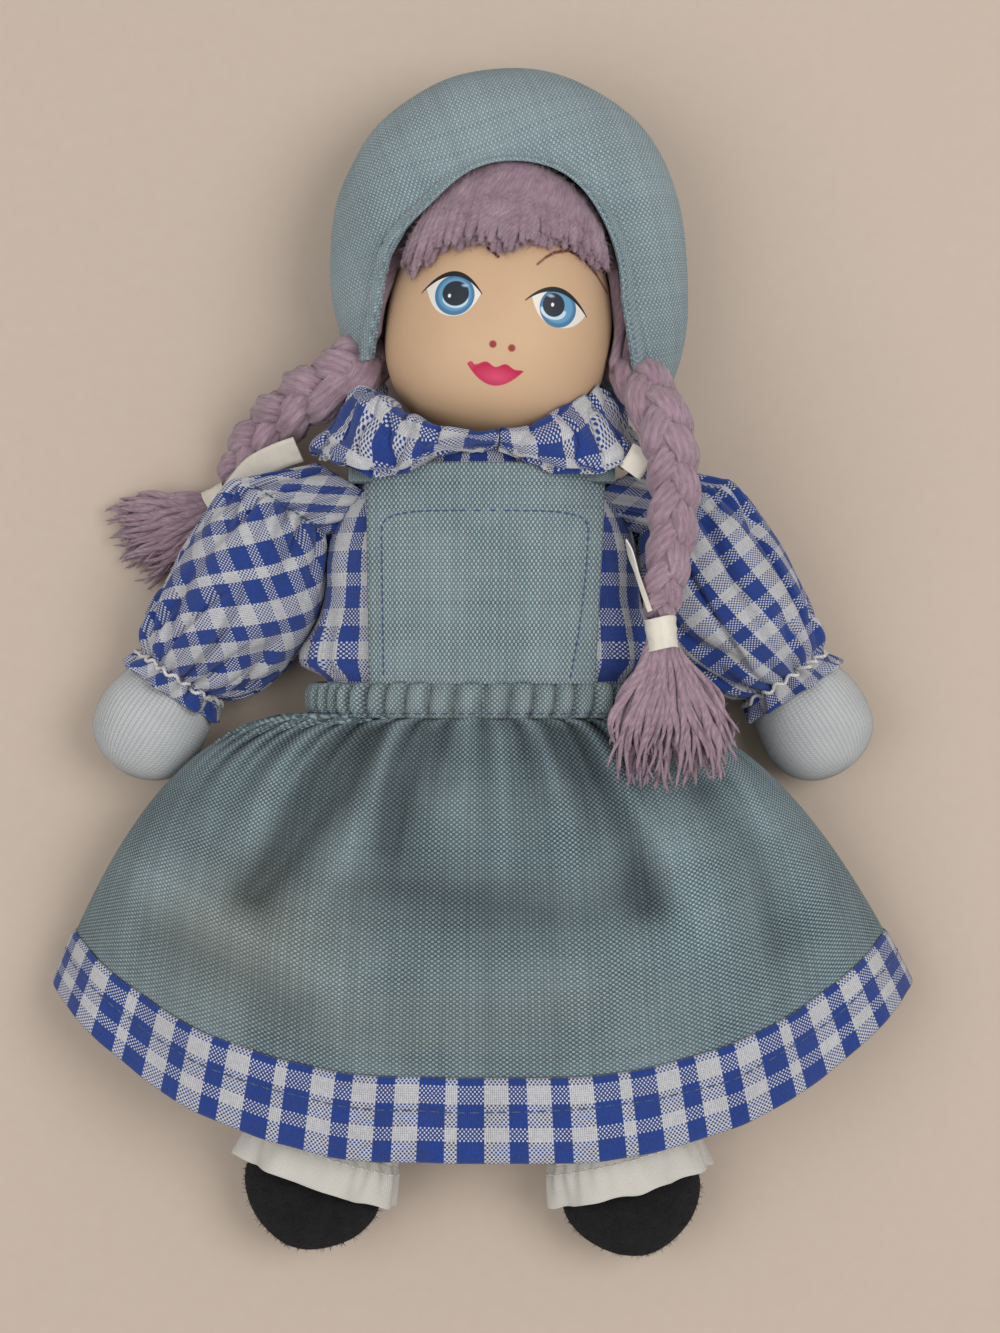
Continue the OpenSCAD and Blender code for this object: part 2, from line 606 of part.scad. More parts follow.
// Turns +X along the way from the tie to the tassel's end
module at_tie(route, to) {
    from = route[len(route) - 1];
    d = to - from;
    translate(from) rotate([0, 0, atan2(d.y, d.x)]) rotate([0, atan2(-d.z, norm([d.x, d.y])), 0]) children();
}
neck_of_tassel = 0.3;
module tassel(route, to, long, wide) {
    thin = tie_r - neck_of_tassel;
    start = ribbon_w + 3 * gap;
    at_tie(route, to) skin(concat([hoop(gap, thin, thin, 0, 12)], [for (v = [0, 0.15, 0.4, 0.7, 1])
        hoop(mix(start, long, v), mix(thin, wide, pow(v, 0.8)), mix(thin, tassel_t, v), 0, 12)]));
}
module left_tassel() {
    color(YARN) above_table() placed()
        tassel(left_route, left_tassel_to, left_tassel_len, left_tassel_w);
}
module right_tassel() {
    color(YARN) placed() tassel(right_route, right_tassel_to, right_tassel_len, right_tassel_w);
}
module ribbon(route, to, tails) {
    wall = ribbon_t;
    in_r = tie_r - neck_of_tassel + gap;
    at_tie(route, to) {
        translate([2 * gap, 0, 0]) rotate([0, 90, 0]) difference() {
            cylinder(r = in_r + wall, h = ribbon_w);
            translate([0, 0, -1]) cylinder(r = in_r, h = ribbon_w + 2);
        }
        for (t = tails)
            translate([2 * gap + ribbon_w / 2, 0, in_r + wall / 2]) rotate([0, -t[1], t[0]])
                translate([0, -ribbon_w / 2, 0]) cube([ribbon_tail, ribbon_w, ribbon_t]);
    }
}
module left_ribbon() {
    color("#f3efe6") placed() ribbon(left_route, left_tassel_to, [[15, 20], [191, 45]]);
}
module right_ribbon() { color("#f3efe6") placed() ribbon(right_route, right_tassel_to, [[205, 28]]); }

// Arms: x runs down the arm from the shoulder seam
cuff_z = cuff_r + 2 * thread_r + 4 * gap;
function arm_z(x) = mix(body_z, puff_h + gap, sin(90 * min(1, x / (sleeve_len * 0.6))));
function puffed(start, full, u) = mix(mix(start, cuff_r, u), full, pow(sin(180 * u), 0.6));
function sleeve_w(u) = puffed(armhole_w, puff_w, u);
function sleeve_h(u) = puffed(armhole_h, puff_h, u);
function sleeve_z(x) = x < sleeve_len / 2 ? arm_z(x) : mix(arm_z(sleeve_len / 2), cuff_z,
    min(1, (x / sleeve_len - 0.5) / 0.5));
sleeve_steps = [0, 0.1, 0.3, 0.55, 0.8, 0.93, 1];
frill_flare = 1.2;
function sleeve_rings(off, n) = concat(
    [for (u = sleeve_steps)
        hoop(gap + u * sleeve_len, sleeve_w(u) - off, sleeve_h(u) - off, sleeve_z(u * sleeve_len), n,
            gather * sin(180 * u), sleeve_gathers, -puff_in * sin(180 * u))],
    [hoop(gap + sleeve_len + cuff_frill, cuff_r + frill_flare - off, cuff_r + frill_flare - off, cuff_z, n,
        gather, sleeve_gathers)]);
module sleeve() {
    n = 36;
    outer = sleeve_rings(0, n);
    inner = sleeve_rings(cloth, n);
    color(GINGHAM) skin(concat(outer, reversed(inner)), true);
}
module cuff_elastic() {
    color("#f2f0ea") translate([gap + sleeve_len, 0, cuff_z]) rotate([0, 90, 0])
        rotate_extrude() translate([cuff_r + thread_r + 3 * gap, 0]) circle(thread_r * 0.8, $fn = 16);
}
// The stuffed arm narrows at the wrist and ends in a round mitten hand
module arm() {
    wrist = sleeve_len + cuff_frill / 2;
    hand = arm_len - wrist;
    color(WHITE) skin(concat(
        [for (u = [0, 0.08, 0.4, 0.8, 1])
            let (x = mix(1, wrist, u))
            let (r = arm_r * min(1, 0.6 + 5 * u) * mix(1, 0.85, u * u))
            hoop(x, r, r, mix(sleeve_z(x), hand_w + 2 * gap, u * u), 20)],
        [for (a = [40 : -20 : -80])
            let (x = wrist + hand / 2 * (1 - sin(a)))
            hoop(x, hand_w * cos(a), hand_w * cos(a), hand_w + gap, 20)],
        [hoop(arm_len, 0.5, 0.5, hand_w + gap, 20)]));
}
module shoulder_thread() {
    color("#3c4a66") translate([0, 0, seam_z]) rotate([90, 0, 0])
        cylinder(r = thread_r, h = 2 * armhole_w, center = true, $fn = 24);
}
module left_arm() { on_arm(-1) arm(); }
module right_arm() { on_arm(1) arm(); }
module left_sleeve() { above_table() on_arm(-1) sleeve(); }
module right_sleeve() { above_table() on_arm(1) sleeve(); }
module left_cuff_elastic() { on_arm(-1) cuff_elastic(); }
module right_cuff_elastic() { on_arm(1) cuff_elastic(); }
module left_shoulder_thread() { on_arm(-1) shoulder_thread(); }
module right_shoulder_thread() { on_arm(1) shoulder_thread(); }

// Legs: x runs down the leg from the hip stitch
leg_z = pant_h + cloth + 2 * gap;
pant_top = -leg_r / 2;
pant_end = leg_len + shoe_len * 0.4;
module leg() {
    color(WHITE) difference() {
        skin(concat([for (a = [80 : -20 : 0])
                hoop(-leg_r * sin(a), leg_r * cos(a), leg_r * 0.9 * cos(a), leg_z, 20)],
            [for (u = [0.3, 0.65, 1]) hoop(u * leg_len, leg_r, leg_r * 0.9, leg_z, 20)]));
        translate([0, 0, -5]) cylinder(r = thread_r + neck_fit, h = 40, $fn = 24);
    }
}
module hip_stitch() {
    color("#d8d2c4") translate([0, 0, leg_z - leg_r - cloth])
        cylinder(r = thread_r, h = 2 * leg_r + cloth, $fn = 24);
}
function pant_hw(x) = mix(leg_r + 2 * gap + cloth + 1, pant_w, (x - pant_top) / (pant_end - pant_top));
module pantaloon() {
    steps = [for (u = [0, 0.35, 0.7, 1]) mix(pant_top, pant_end - frill_len, u)];
    color(WHITE) skin(concat([for (x = steps) hoop(x, pant_hw(x), pant_h, leg_z, 28, 0.3, 7)],
        [for (x = reversed(steps)) hoop(x, pant_hw(x) - cloth, pant_h - cloth, leg_z, 28, 0.3, 7)]), true);
}
module frill() {
    a = pant_end - frill_len + gap;
    n = 32;
    wide = pant_hw(a);
    color(WHITE) skin([hoop(a, wide + 0.3, pant_h + 0.2, leg_z, n, 0.2, frill_gathers),
        hoop(mix(a, pant_end, 0.5), wide + 0.5, pant_h + 0.3, leg_z, n, 0.4, frill_gathers),
        hoop(pant_end, wide + 0.9, pant_h + 0.5, leg_z, n, 0.6, frill_gathers),
        hoop(pant_end, wide + 0.9 - cloth, pant_h + 0.5 - cloth, leg_z, n, 0.6, frill_gathers),
        hoop(mix(a, pant_end, 0.5), wide + 0.5 - cloth, pant_h + 0.3 - cloth, leg_z, n, 0.4, frill_gathers),
        hoop(a, wide + 0.3 - cloth, pant_h + 0.2 - cloth, leg_z, n, 0.2, frill_gathers)], true);
}
module shoe() {
    color("#1d1b1d") skin(concat([hoop(leg_len + gap, leg_r - 0.6, leg_r * 0.8, leg_z, 24)],
        [for (u = [0.15, 0.4, 0.6, 0.8, 0.93, 0.99])
            let (k = u < 0.6 ? mix(0.72, 1, sin(90 * u / 0.6)) : sqrt(1 - pow((u - 0.6) / 0.4, 2.4)))
            hoop(leg_len + u * shoe_len, shoe_w * k,
                min(shoe_h, pant_h - cloth - gap - 0.4) * mix(0.82, 1, u) * k, shoe_h + gap + 0.6, 24)],
        [hoop(leg_len + shoe_len, 1.2, 1, shoe_h + gap + 0.6, 24)]));
}
module left_leg() { on_leg(-1) leg(); }
module right_leg() { on_leg(1) leg(); }
module left_pantaloon() { on_leg(-1) pantaloon(); }
module right_pantaloon() { on_leg(1) pantaloon(); }
module left_frill() { on_leg(-1) frill(); }
module right_frill() { on_leg(1) frill(); }
module left_shoe() { on_leg(-1) shoe(); }
module right_shoe() { on_leg(1) shoe(); }
module left_hip_stitch() { on_leg(-1) hip_stitch(); }
module right_hip_stitch() { on_leg(1) hip_stitch(); }

chest_bag();
chest_stuffing();
neck_cloth();
neck_thread();
bodice();
left_collar();
right_collar();
bib();
left_strap();
right_strap();
waistband();
waist_elastic();
waist_thread();
seat_bag();
seat_stuffing();
pantaloon_seat();
skirt();
hem_band();
head();
wig();
fringe();
bonnet();
left_braid();
right_braid();
left_ribbon();
right_ribbon();
left_tassel();
right_tassel();
left_arm();
left_sleeve();
left_cuff_elastic();
left_shoulder_thread();
right_arm();
right_sleeve();
right_cuff_elastic();
right_shoulder_thread();
left_leg();
left_pantaloon();
left_frill();
left_shoe();
left_hip_stitch();
right_leg();
right_pantaloon();
right_frill();
right_shoe();
right_hip_stitch();
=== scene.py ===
# %% [markdown]
# A rag doll with a painted ceramic head lies on its back on a pale table.
# It wears a gingham blouse, a grey-blue linen pinafore and bonnet, white knitted mittens,
# pantaloons and black felt shoes, and its yarn hair hangs in two ribbon-tied braids.
# Every piece is made in metres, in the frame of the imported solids. The helper doll() takes a
# place in millimetres, measured from the doll's waist line, because that is how a maker measures.

# %% Load the frame
import functools
import random
from math import acos, atan2, copysign, cos, degrees, exp, hypot, pi, radians, sin, sqrt

import bmesh
import bpy
from mathutils import Matrix, Vector, noise


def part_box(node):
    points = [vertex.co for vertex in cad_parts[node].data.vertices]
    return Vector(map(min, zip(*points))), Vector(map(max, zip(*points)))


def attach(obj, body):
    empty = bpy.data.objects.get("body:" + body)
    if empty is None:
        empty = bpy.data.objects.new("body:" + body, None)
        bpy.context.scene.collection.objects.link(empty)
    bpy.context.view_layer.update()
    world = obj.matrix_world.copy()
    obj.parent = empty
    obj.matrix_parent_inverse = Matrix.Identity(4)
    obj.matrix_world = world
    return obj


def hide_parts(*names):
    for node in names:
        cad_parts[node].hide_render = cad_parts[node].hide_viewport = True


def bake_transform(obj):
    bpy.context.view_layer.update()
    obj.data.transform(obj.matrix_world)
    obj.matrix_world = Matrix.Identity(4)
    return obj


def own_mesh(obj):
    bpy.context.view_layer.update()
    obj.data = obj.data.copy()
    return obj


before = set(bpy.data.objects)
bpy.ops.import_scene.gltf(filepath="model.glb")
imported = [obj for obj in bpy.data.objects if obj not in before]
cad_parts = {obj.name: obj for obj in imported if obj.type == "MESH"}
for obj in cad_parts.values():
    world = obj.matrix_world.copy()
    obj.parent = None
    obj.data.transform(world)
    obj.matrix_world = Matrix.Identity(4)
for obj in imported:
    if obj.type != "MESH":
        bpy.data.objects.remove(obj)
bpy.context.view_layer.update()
MM = 0.001
WAIST_LOW = -2.7  # the waist thread lies this far below the waist line
thread_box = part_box("waist_thread")
WAIST_Y = (thread_box[0][1] + thread_box[1][1]) / 2 / MM - WAIST_LOW


def doll(x, y, z):
    return Vector((x, y + WAIST_Y, z)) * MM


print("waist line at", round(WAIST_Y, 3), "mm; nodes:", len(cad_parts))

# %% [markdown]
# The photograph looks straight down. Everything that is placed is judged through this
# camera, so it comes first: its height and lens come from the scale of the picture.

# %% Camera
PHOTO_SCALE = 0.14  # mm of doll in one picture pixel, 20 mm above the table
PHOTO_ROWS = 1333
CAMERA_AT = (2.5, 4.69, 440)
FOCUS_HEIGHT = 20
SENSOR = 36.0
eye = bpy.data.objects.new("camera", bpy.data.cameras.new("camera"))
bpy.context.collection.objects.link(eye)
eye.data.sensor_fit = "VERTICAL"
eye.data.sensor_height = SENSOR
eye.data.lens = SENSOR * (CAMERA_AT[2] - FOCUS_HEIGHT) / (PHOTO_ROWS * PHOTO_SCALE)
eye.data.clip_start = 0.01
eye.location = doll(*CAMERA_AT)
bpy.context.scene.camera = eye
bpy.context.scene.view_settings.view_transform = "Standard"
print("lens", round(eye.data.lens, 2))

# %% [markdown]
# Shapes repeat a few curves: a mix of two sizes, a smooth step, a power that keeps its sign.
# Wrinkles come from smooth noise, which gives the same value each run.

# %% Curves
UP = Vector((0, 0, 1))
SIDES = ((-1, "left"), (1, "right"))


def mix(a, b, u):
    return a + (b - a) * u


def keep(x, low=0.0, high=1.0):
    return max(low, min(high, x))


def ease(low, high, x):
    t = keep((x - low) / (high - low))
    return t * t * (3 - 2 * t)


def power(x, e):
    return copysign(abs(x) ** e, x)


def bell(x, wide):
    return exp(-((x / wide) ** 2))


def rumple(x, y, z=0.0, size=1.0):
    return noise.noise(Vector((x, y, z)) / size)


def smooth_route(points, steps):
    """Points evenly spread in parameter on a smooth curve through the given places."""
    knots = [Vector(p) for p in points]
    line = []
    for i in range(steps + 1):
        s = i / steps * (len(knots) - 1)
        k = min(int(s), len(knots) - 2)
        t = s - k
        a, b = knots[k], knots[k + 1]
        before = knots[k - 1] if k else a * 2 - b
        after = knots[k + 2] if k + 2 < len(knots) else b * 2 - a
        line.append(
            0.5 * (2 * a + (b - before) * t + (2 * before - 5 * a + 4 * b - after) * t * t
                   + (3 * a - before - 3 * b + after) * t ** 3))
    return line


def length_of(line):
    return sum((b - a).length for a, b in zip(line, line[1:]))


# %% [markdown]
# Cloth is a grid that a formula lays in its place, as a dressmaker lays a flat cut on the doll.
# The flat place of each point is kept as the UV map "cut", in metres, so that the weave follows
# the cloth round every fold. Solidify then gives the cloth its thickness.

# %% Make cloth and tubes


def finish_mesh(name, bm, material, inside=None, close=False):
    """Closes seams, turns the faces outwards from a place inside, and makes the object."""
    bmesh.ops.remove_doubles(bm, verts=bm.verts, dist=0.004 * MM)
    bmesh.ops.dissolve_degenerate(bm, edges=bm.edges, dist=0.001 * MM)
    if close:
        bmesh.ops.holes_fill(bm, edges=bm.edges, sides=0)
    bmesh.ops.recalc_face_normals(bm, faces=bm.faces)
    if inside is not None:
        heart = doll(*inside)
        if sum(f.normal.dot(f.calc_center_median() - heart) * f.calc_area() for f in bm.faces) < 0:
            bmesh.ops.reverse_faces(bm, faces=bm.faces)
    mesh = bpy.data.meshes.new(name)
    bm.to_mesh(mesh)
    bm.free()
    mesh.shade_smooth()
    mesh.materials.append(material)
    piece = bpy.data.objects.new(name, mesh)
    bpy.context.collection.objects.link(piece)
    return piece


def join(bm, part):
    """Adds a small mesh to a larger one. Small parts are made apart because that is much faster."""
    mesh = bpy.data.meshes.new("part")
    part.to_mesh(mesh)
    part.free()
    bm.from_mesh(mesh)
    bpy.data.meshes.remove(mesh)


def lay_grid(bm, across, along, place, cut, shade_and_stain=None):
    """Adds a grid to bm; place(u, v) gives mm on the doll and cut(u, v) mm in the flat cloth.

    The last argument, if given, gives two numbers at (u, v) that a finish can read: the painted
    shade and light of the cloth there, and how stained it is."""
    flat = bm.loops.layers.uv.get("cut") or bm.loops.layers.uv.new("cut")
    marks = [bm.verts.layers.float.new(name) for name in ("light", "stain")] if shade_and_stain else []
    verts = bmesh.ops.create_grid(bm, x_segments=across, y_segments=along, size=0.5)["verts"]
    spots = {v: (v.co.x + 0.5, v.co.y + 0.5) for v in verts}
    for face in {f for v in verts for f in v.link_faces}:
        for loop in face.loops:
            loop[flat].uv = [c * MM for c in cut(*spots[loop.vert])]
    gap, span = [(Vector(place(0, 0.5)) - Vector(place(u, 0.5))).length for u in (1, 0.5)]
    full_turn = gap < 0.1 * span
    for vert, (u, v) in spots.items():
        vert.co = doll(*place(0.0 if full_turn and u > 0.9999 else u, v))
        for mark, value in zip(marks, shade_and_stain(u, v) if shade_and_stain else ()):
            vert[mark] = value


def cloth(name, across, along, place, cut, material, thick=0.6, inside=None, shade_and_stain=None):
    bm = bmesh.new()
    lay_grid(bm, across, along, place, cut, shade_and_stain)
    piece = finish_mesh(name, bm, material, inside, not thick)
    if thick:
        wall = piece.modifiers.new("cloth thickness", "SOLIDIFY")
        wall.thickness = thick * MM
        wall.offset = -1
    print(name, len(piece.data.polygons), "faces")
    return piece


def plain_cut(wide, long):
    """The flat place of a point of a plain rectangle of cloth."""
    return lambda u, v: (u * wide, v * long)


def dress(piece, body, node=None):
    """Hides the solid that a piece stands for, and hangs the piece on the body that it rides on."""
    if node:
        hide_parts(node)
    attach(piece, body)


def arc(place, steps=720):
    """Gives the distance in mm along a curve place(u), for u from 0 to 1."""
    spots = [Vector(place(i / steps)) for i in range(steps + 1)]
    run = [0.0]
    for a, b in zip(spots, spots[1:]):
        run.append(run[-1] + (b - a).length)

    def at(u):
        i = min(int(u * steps), steps - 1)
        return mix(run[i], run[i + 1], u * steps - i)

    return at


def frames_along(line):
    """A side and an up direction at each point of a line, turned as little as possible."""
    ways = [(line[min(i + 1, len(line) - 1)] - line[max(i - 1, 0)]).normalized()
            for i in range(len(line))]
    side = ways[0].cross(UP)
    if side.length < 0.05:
        side = ways[0].cross(Vector((0, 1, 0)))
    side.normalize()
    made = []
    for way in ways:
        side = (side - way * side.dot(way)).normalized()
        made.append((side, side.cross(way)))
    return made


def tube(bm, line, radius, sides=10, lobes=0, deep=0.0, turns=0.0, flat=1.0):
    """Adds a tube along a line to bm; lobes of a share deep wind round it, as plies of yarn do."""
    frames = frames_along(line)
    steps = len(line) - 1
    length = length_of(line)

    def place(u, v):
        i = round(v * steps)
        angle = 2 * pi * u
        r = radius(v) * (1 + deep * cos(lobes * angle + 2 * pi * turns * v))
        side, up = frames[i]
        return line[i] + side * (r * cos(angle)) + up * (r * flat * sin(angle))

    part = bmesh.new()
    lay_grid(part, sides, steps, place, lambda u, v: (u * 2 * pi * radius(0.5), v * length))
    join(bm, part)


# %% [markdown]
# Finishes are node materials. A small Field class lets a formula be written as plain arithmetic:
# each operation adds one Math node. Numbers that are the same all over go on the shader itself.

# %% Fields and finishes


def rgb(r, g, b):
    def linear(c):
        c /= 255
        return c / 12.92 if c <= 0.04045 else ((c + 0.055) / 1.055) ** 2.4

    return (linear(r), linear(g), linear(b), 1)


def feed(tree, slot, value):
    """Puts a field, a socket or a plain value into a slot of a node."""
    value = value.socket if isinstance(value, Field) else value
    if isinstance(value, bpy.types.NodeSocket):
        tree.links.new(value, slot)
    else:
        slot.default_value = value


class Field:
    def __init__(self, tree, socket):
        self.tree, self.socket = tree, socket

    def calc(self, operation, *others, clamp=False):
        node = self.tree.nodes.new("ShaderNodeMath")
        node.operation = operation
        node.use_clamp = clamp
        for slot, value in zip(node.inputs, (self, *others)):
            feed(self.tree, slot, value)
        return Field(self.tree, node.outputs[0])

    def inverse(self):
        return self.calc("MULTIPLY_ADD", -1, 1)

    def ink(self, soft=0.08):
        """1 where the field is below nought, with a soft edge."""
        return self.calc("MULTIPLY_ADD", -1 / soft, 0.5, clamp=True)


FIELD_MATHS = {"__add__": "ADD", "__sub__": "SUBTRACT", "__mul__": "MULTIPLY",
               "__truediv__": "DIVIDE", "__pow__": "POWER", "sine": "SINE", "size": "ABSOLUTE",
               "floor": "FLOOR", "least": "MINIMUM", "most": "MAXIMUM", "above": "GREATER_THAN"}
for method, operation in FIELD_MATHS.items():
    setattr(Field, method, functools.partialmethod(Field.calc, operation))


class Finish:
    def __init__(self, name, roughness, **constants):
        self.material = bpy.data.materials.new(name)
        self.material.use_nodes = True
        self.tree = self.material.node_tree
        self.shader = self.tree.nodes["Principled BSDF"]
        self.shader.inputs["Roughness"].default_value = roughness
        for socket, value in constants.items():
            self.shader.inputs[socket.replace("_", " ")].default_value = value

    def add(self, kind, inputs=None, **settings):
        """Adds a node of a kind, with its settings and with what goes into its slots."""
        node = self.tree.nodes.new("ShaderNode" + kind)
        for key, value in settings.items():
            setattr(node, key, value)
        for slot, value in (inputs or {}).items():
            feed(self.tree, node.inputs[slot], value)
        return node

    def split(self, vector):
        parts = self.add("SeparateXYZ", {0: vector})
        return [Field(self.tree, out) for out in parts.outputs]

    def mapped(self, vector, scale, location=(0, 0, 0), turn=0.0):
        """Coordinates in the given unit, about a place and turned by an angle in degrees."""
        inputs = {"Vector": vector, "Location": location, "Rotation": (0, 0, radians(turn)),
                  "Scale": scale}
        return self.add("Mapping", inputs, vector_type="TEXTURE").outputs["Vector"]

    def on_cut(self, unit=(1, 1), turn=0.0, shift=(0, 0)):
        uv = self.add("UVMap", uv_map="cut")
        return self.mapped(uv.outputs[0], (unit[0] * MM, unit[1] * MM, 1),
                           (shift[0] * MM, shift[1] * MM, 0), turn)

    def on_object(self, unit=1.0, location=(0, 0, 0), turn=0.0):
        place = self.add("TexCoord")
        return self.mapped(place.outputs["Object"], (unit * MM,) * 3, location, turn)

    def noise(self, vector, detail=3.0, rough=0.55):
        inputs = {"Vector": vector, "Scale": 1.0, "Detail": detail, "Roughness": rough}
        return Field(self.tree, self.add("TexNoise", inputs).outputs[0])

    def chance(self, field):
        """A number from 0 to 1 that differs from one whole number to the next."""
        dice = self.add("TexWhiteNoise", {"W": field}, noise_dimensions="1D")
        return Field(self.tree, dice.outputs["Value"])

    def mark(self, name):
        """A number that the mesh carries at each of its points."""
        return Field(self.tree, self.add("Attribute", attribute_name=name).outputs["Fac"])

    def blend(self, amount, a, b):
        return self.add("Mix", {0: amount, 6: a, 7: b}, data_type="RGBA").outputs[2]

    def shade(self, colour, light):
        """A colour made darker or lighter by a field."""
        return self.add("VectorMath", {0: colour, "Scale": light}, operation="SCALE").outputs[0]

    def done(self, colour, height=None, distance=0.0, strength=1.0):
        """Connects the colour and the raised surface, and gives the material."""
        feed(self.tree, self.shader.inputs["Base Color"], colour)
        if height:
            inputs = {"Distance": distance * MM, "Strength": strength, "Height": height}
            raised = self.add("Bump", inputs).outputs[0]
            feed(self.tree, self.shader.inputs["Normal"], raised)
        return self.material

    def weave(self, vector, proud=0.0):
        """Plain weave in thread units: where the warp lies over, and how high the threads stand."""
        x, y, _ = self.split(vector)
        across, along = (x * pi).sine(), (y * pi).sine()
        over = (across * along).above(-proud)
        a, b = across.size(), along.size()
        warp = a ** 0.5 * (b * 0.5 + 0.5)
        weft = b ** 0.5 * (a * 0.5 + 0.5)
        height = over * warp + over.inverse() * weft
        return x, y, over, height


# %% [markdown]
# Linen is a coarse plain weave with slubs: each thread has its own tone, and dark pinholes show
# where four threads meet. The pinafore is also washed out in soft blotches. Some linen also reads
# two marks that the mesh carries at its points: the shade and light painted there by the folds
# and pleats, and how stained the cloth is.

# %% Linen
STAIN = (128, 126, 108)


def linen(name, light, dark, threads, turn=0.0, blotch=14.0, reads_shade_and_stain=False):
    finish = Finish(name, 0.9, Sheen_Weight=0.12, Sheen_Roughness=0.5, Specular_IOR_Level=0.2)
    x, y, over, height = finish.weave(finish.on_cut(threads, turn))
    warp_tone, weft_tone = finish.chance(x.floor()), finish.chance(y.floor() + 500)
    slub = over * warp_tone + over.inverse() * weft_tone
    cloud = finish.noise(finish.on_object(blotch), 4.0, 0.6)
    patch = cloud.calc("MULTIPLY_ADD", 3.2, -1.1, clamp=True)
    worn = [mix(c, grey, 0.35) for c, grey in zip(light, (150, 153, 150))]
    ground = finish.blend(patch, rgb(*dark), rgb(*[mix(d, w, 0.4) for d, w in zip(dark, worn)]))
    base = finish.blend(over, ground, rgb(*light))
    tone = height * 0.42 + slub * 0.22 + patch * 0.1 + 0.46
    if reads_shade_and_stain:
        base = finish.blend(finish.mark("stain"), base, rgb(*STAIN))
        # The light mark darkens the cloth with painted shade in the hollows of folds and pleats and
        # lightens it with painted light on their ridges.
        tone = tone * finish.mark("light")
    return finish.done(finish.shade(base, tone), height + slub * 0.3, 0.16, 0.9)


skirt_linen = linen("skirt_linen", (146, 162, 167), (66, 92, 103), (0.44, 0.34), reads_shade_and_stain=True)
bib_linen = linen("bib_linen", (164, 178, 180), (84, 110, 121), (0.32, 0.42))
waist_linen = linen("waist_linen", (156, 171, 174), (74, 100, 110), (0.36, 0.4), reads_shade_and_stain=True)
bonnet_linen = linen("bonnet_linen", (168, 185, 191), (116, 140, 151), (0.31, 0.37), 18, 20)

# %% [markdown]
# Gingham is dyed in the yarn, so its checks are made the way a loom makes them: a stripe of
# colours along the warp, another along the weft, and at each crossing the thread on top shows.

# %% Gingham
WARP_RUN = [("blue", 13), ("white", 6), ("blue", 13), ("white", 12), ("blue", 9), ("white", 12),
            ("blue", 9), ("white", 12)]
WEFT_RUN = [("blue", 10), ("white", 6), ("blue", 10), ("white", 8), ("blue", 7), ("white", 8)]
DYED, PLAIN = (33, 63, 140), (198, 199, 203)


def gingham(name, turn=0.0, shift=(0, 0), threads=(0.29, 0.31)):
    finish = Finish(name, 0.85, Sheen_Weight=0.2, Sheen_Roughness=0.5, Specular_IOR_Level=0.25)
    x, y, over, height = finish.weave(finish.on_cut(threads, turn, shift), 0.22)

    def dye(threads_field, run):
        total = sum(n for _, n in run)
        place = (threads_field.floor() + 0.5).calc("FLOORED_MODULO", float(total)) / total
        ramp = finish.add("ValToRGB", {0: place})
        ramp.color_ramp.interpolation = "CONSTANT"
        start = 0
        for i, (kind, n) in enumerate(run):
            stops = ramp.color_ramp.elements
            stop = stops[i] if i < len(stops) else stops.new(start / total)
            stop.position = start / total
            stop.color = (1, 1, 1, 1) if kind == "blue" else (0, 0, 0, 1)
            start += n
        return Field(finish.tree, ramp.outputs[0])

    blue = over * dye(x, WARP_RUN) + over.inverse() * dye(y, WEFT_RUN)
    tone = finish.chance(x.floor() + y.floor() * 37)
    worn = finish.noise(finish.on_object(9.0))
    base = finish.blend(blue, rgb(*PLAIN), rgb(*DYED))
    colour = finish.shade(base, height * 0.3 + tone * 0.16 + worn * 0.3 + 0.5)
    return finish.done(colour, height + tone * 0.2, 0.12, 0.9)


blouse_gingham = gingham("blouse_gingham", 0, (3, 0))
hem_gingham = gingham("hem_gingham", 0, (0, 0.5))
left_sleeve_gingham = gingham("left_sleeve_gingham", 42)
right_sleeve_gingham = gingham("right_sleeve_gingham", 6, (2, 8))
collar_gingham = gingham("collar_gingham", 8, (0, 3.6))

# %% [markdown]
# The other cloths: white cotton for the pantaloons, black felt for the shoes, ribbed white
# knit for the arms, and mauve yarn, ivory satin and sewing threads.

# %% Cotton, felt, knit, yarn, satin and thread


def cotton(name, tone):
    finish = Finish(name, 0.9, Sheen_Weight=0.2, Specular_IOR_Level=0.2)
    _, _, _, height = finish.weave(finish.on_cut((0.32, 0.36)))
    grey = finish.noise(finish.on_object(7.0))
    base = finish.blend(grey, rgb(*[c * 0.92 for c in tone]), rgb(*tone))
    return finish.done(finish.shade(base, height * 0.14 + 0.9), height, 0.08, 0.7)


def felt():
    finish = Finish("black_felt", 1.0, Sheen_Weight=0.05, Sheen_Roughness=0.6,
                    Specular_IOR_Level=0.1)
    fuzz = finish.noise(finish.on_object(0.35), 6.0, 0.75)
    lint = finish.noise(finish.on_object(2.5), 4.0, 0.7)
    tone = (fuzz * 0.8 + lint * 0.5).calc("MULTIPLY_ADD", 2.2, -0.95, clamp=True)
    return finish.done(finish.blend(tone, rgb(11, 11, 13), rgb(38, 37, 41)), fuzz, 0.5, 1.0)


def knit():
    finish = Finish("white_knit", 0.9, Sheen_Weight=0.3, Sheen_Roughness=0.5,
                    Specular_IOR_Level=0.2)
    x, y, _ = finish.split(finish.on_cut((0.62, 0.5)))
    wale = (x * pi).sine().size()
    lean = (x.calc("FRACT") - 0.5).size()
    loop = ((y + lean * 1.1) * (2 * pi)).sine() * 0.5 + 0.5
    height = wale ** 0.6 * (loop * 0.45 + 0.55)
    soil = finish.noise(finish.on_object(6.0))
    base = finish.blend(soil, rgb(176, 180, 184), rgb(205, 207, 208))
    return finish.done(finish.shade(base, height * 0.3 + 0.75), height, 0.22, 0.9)


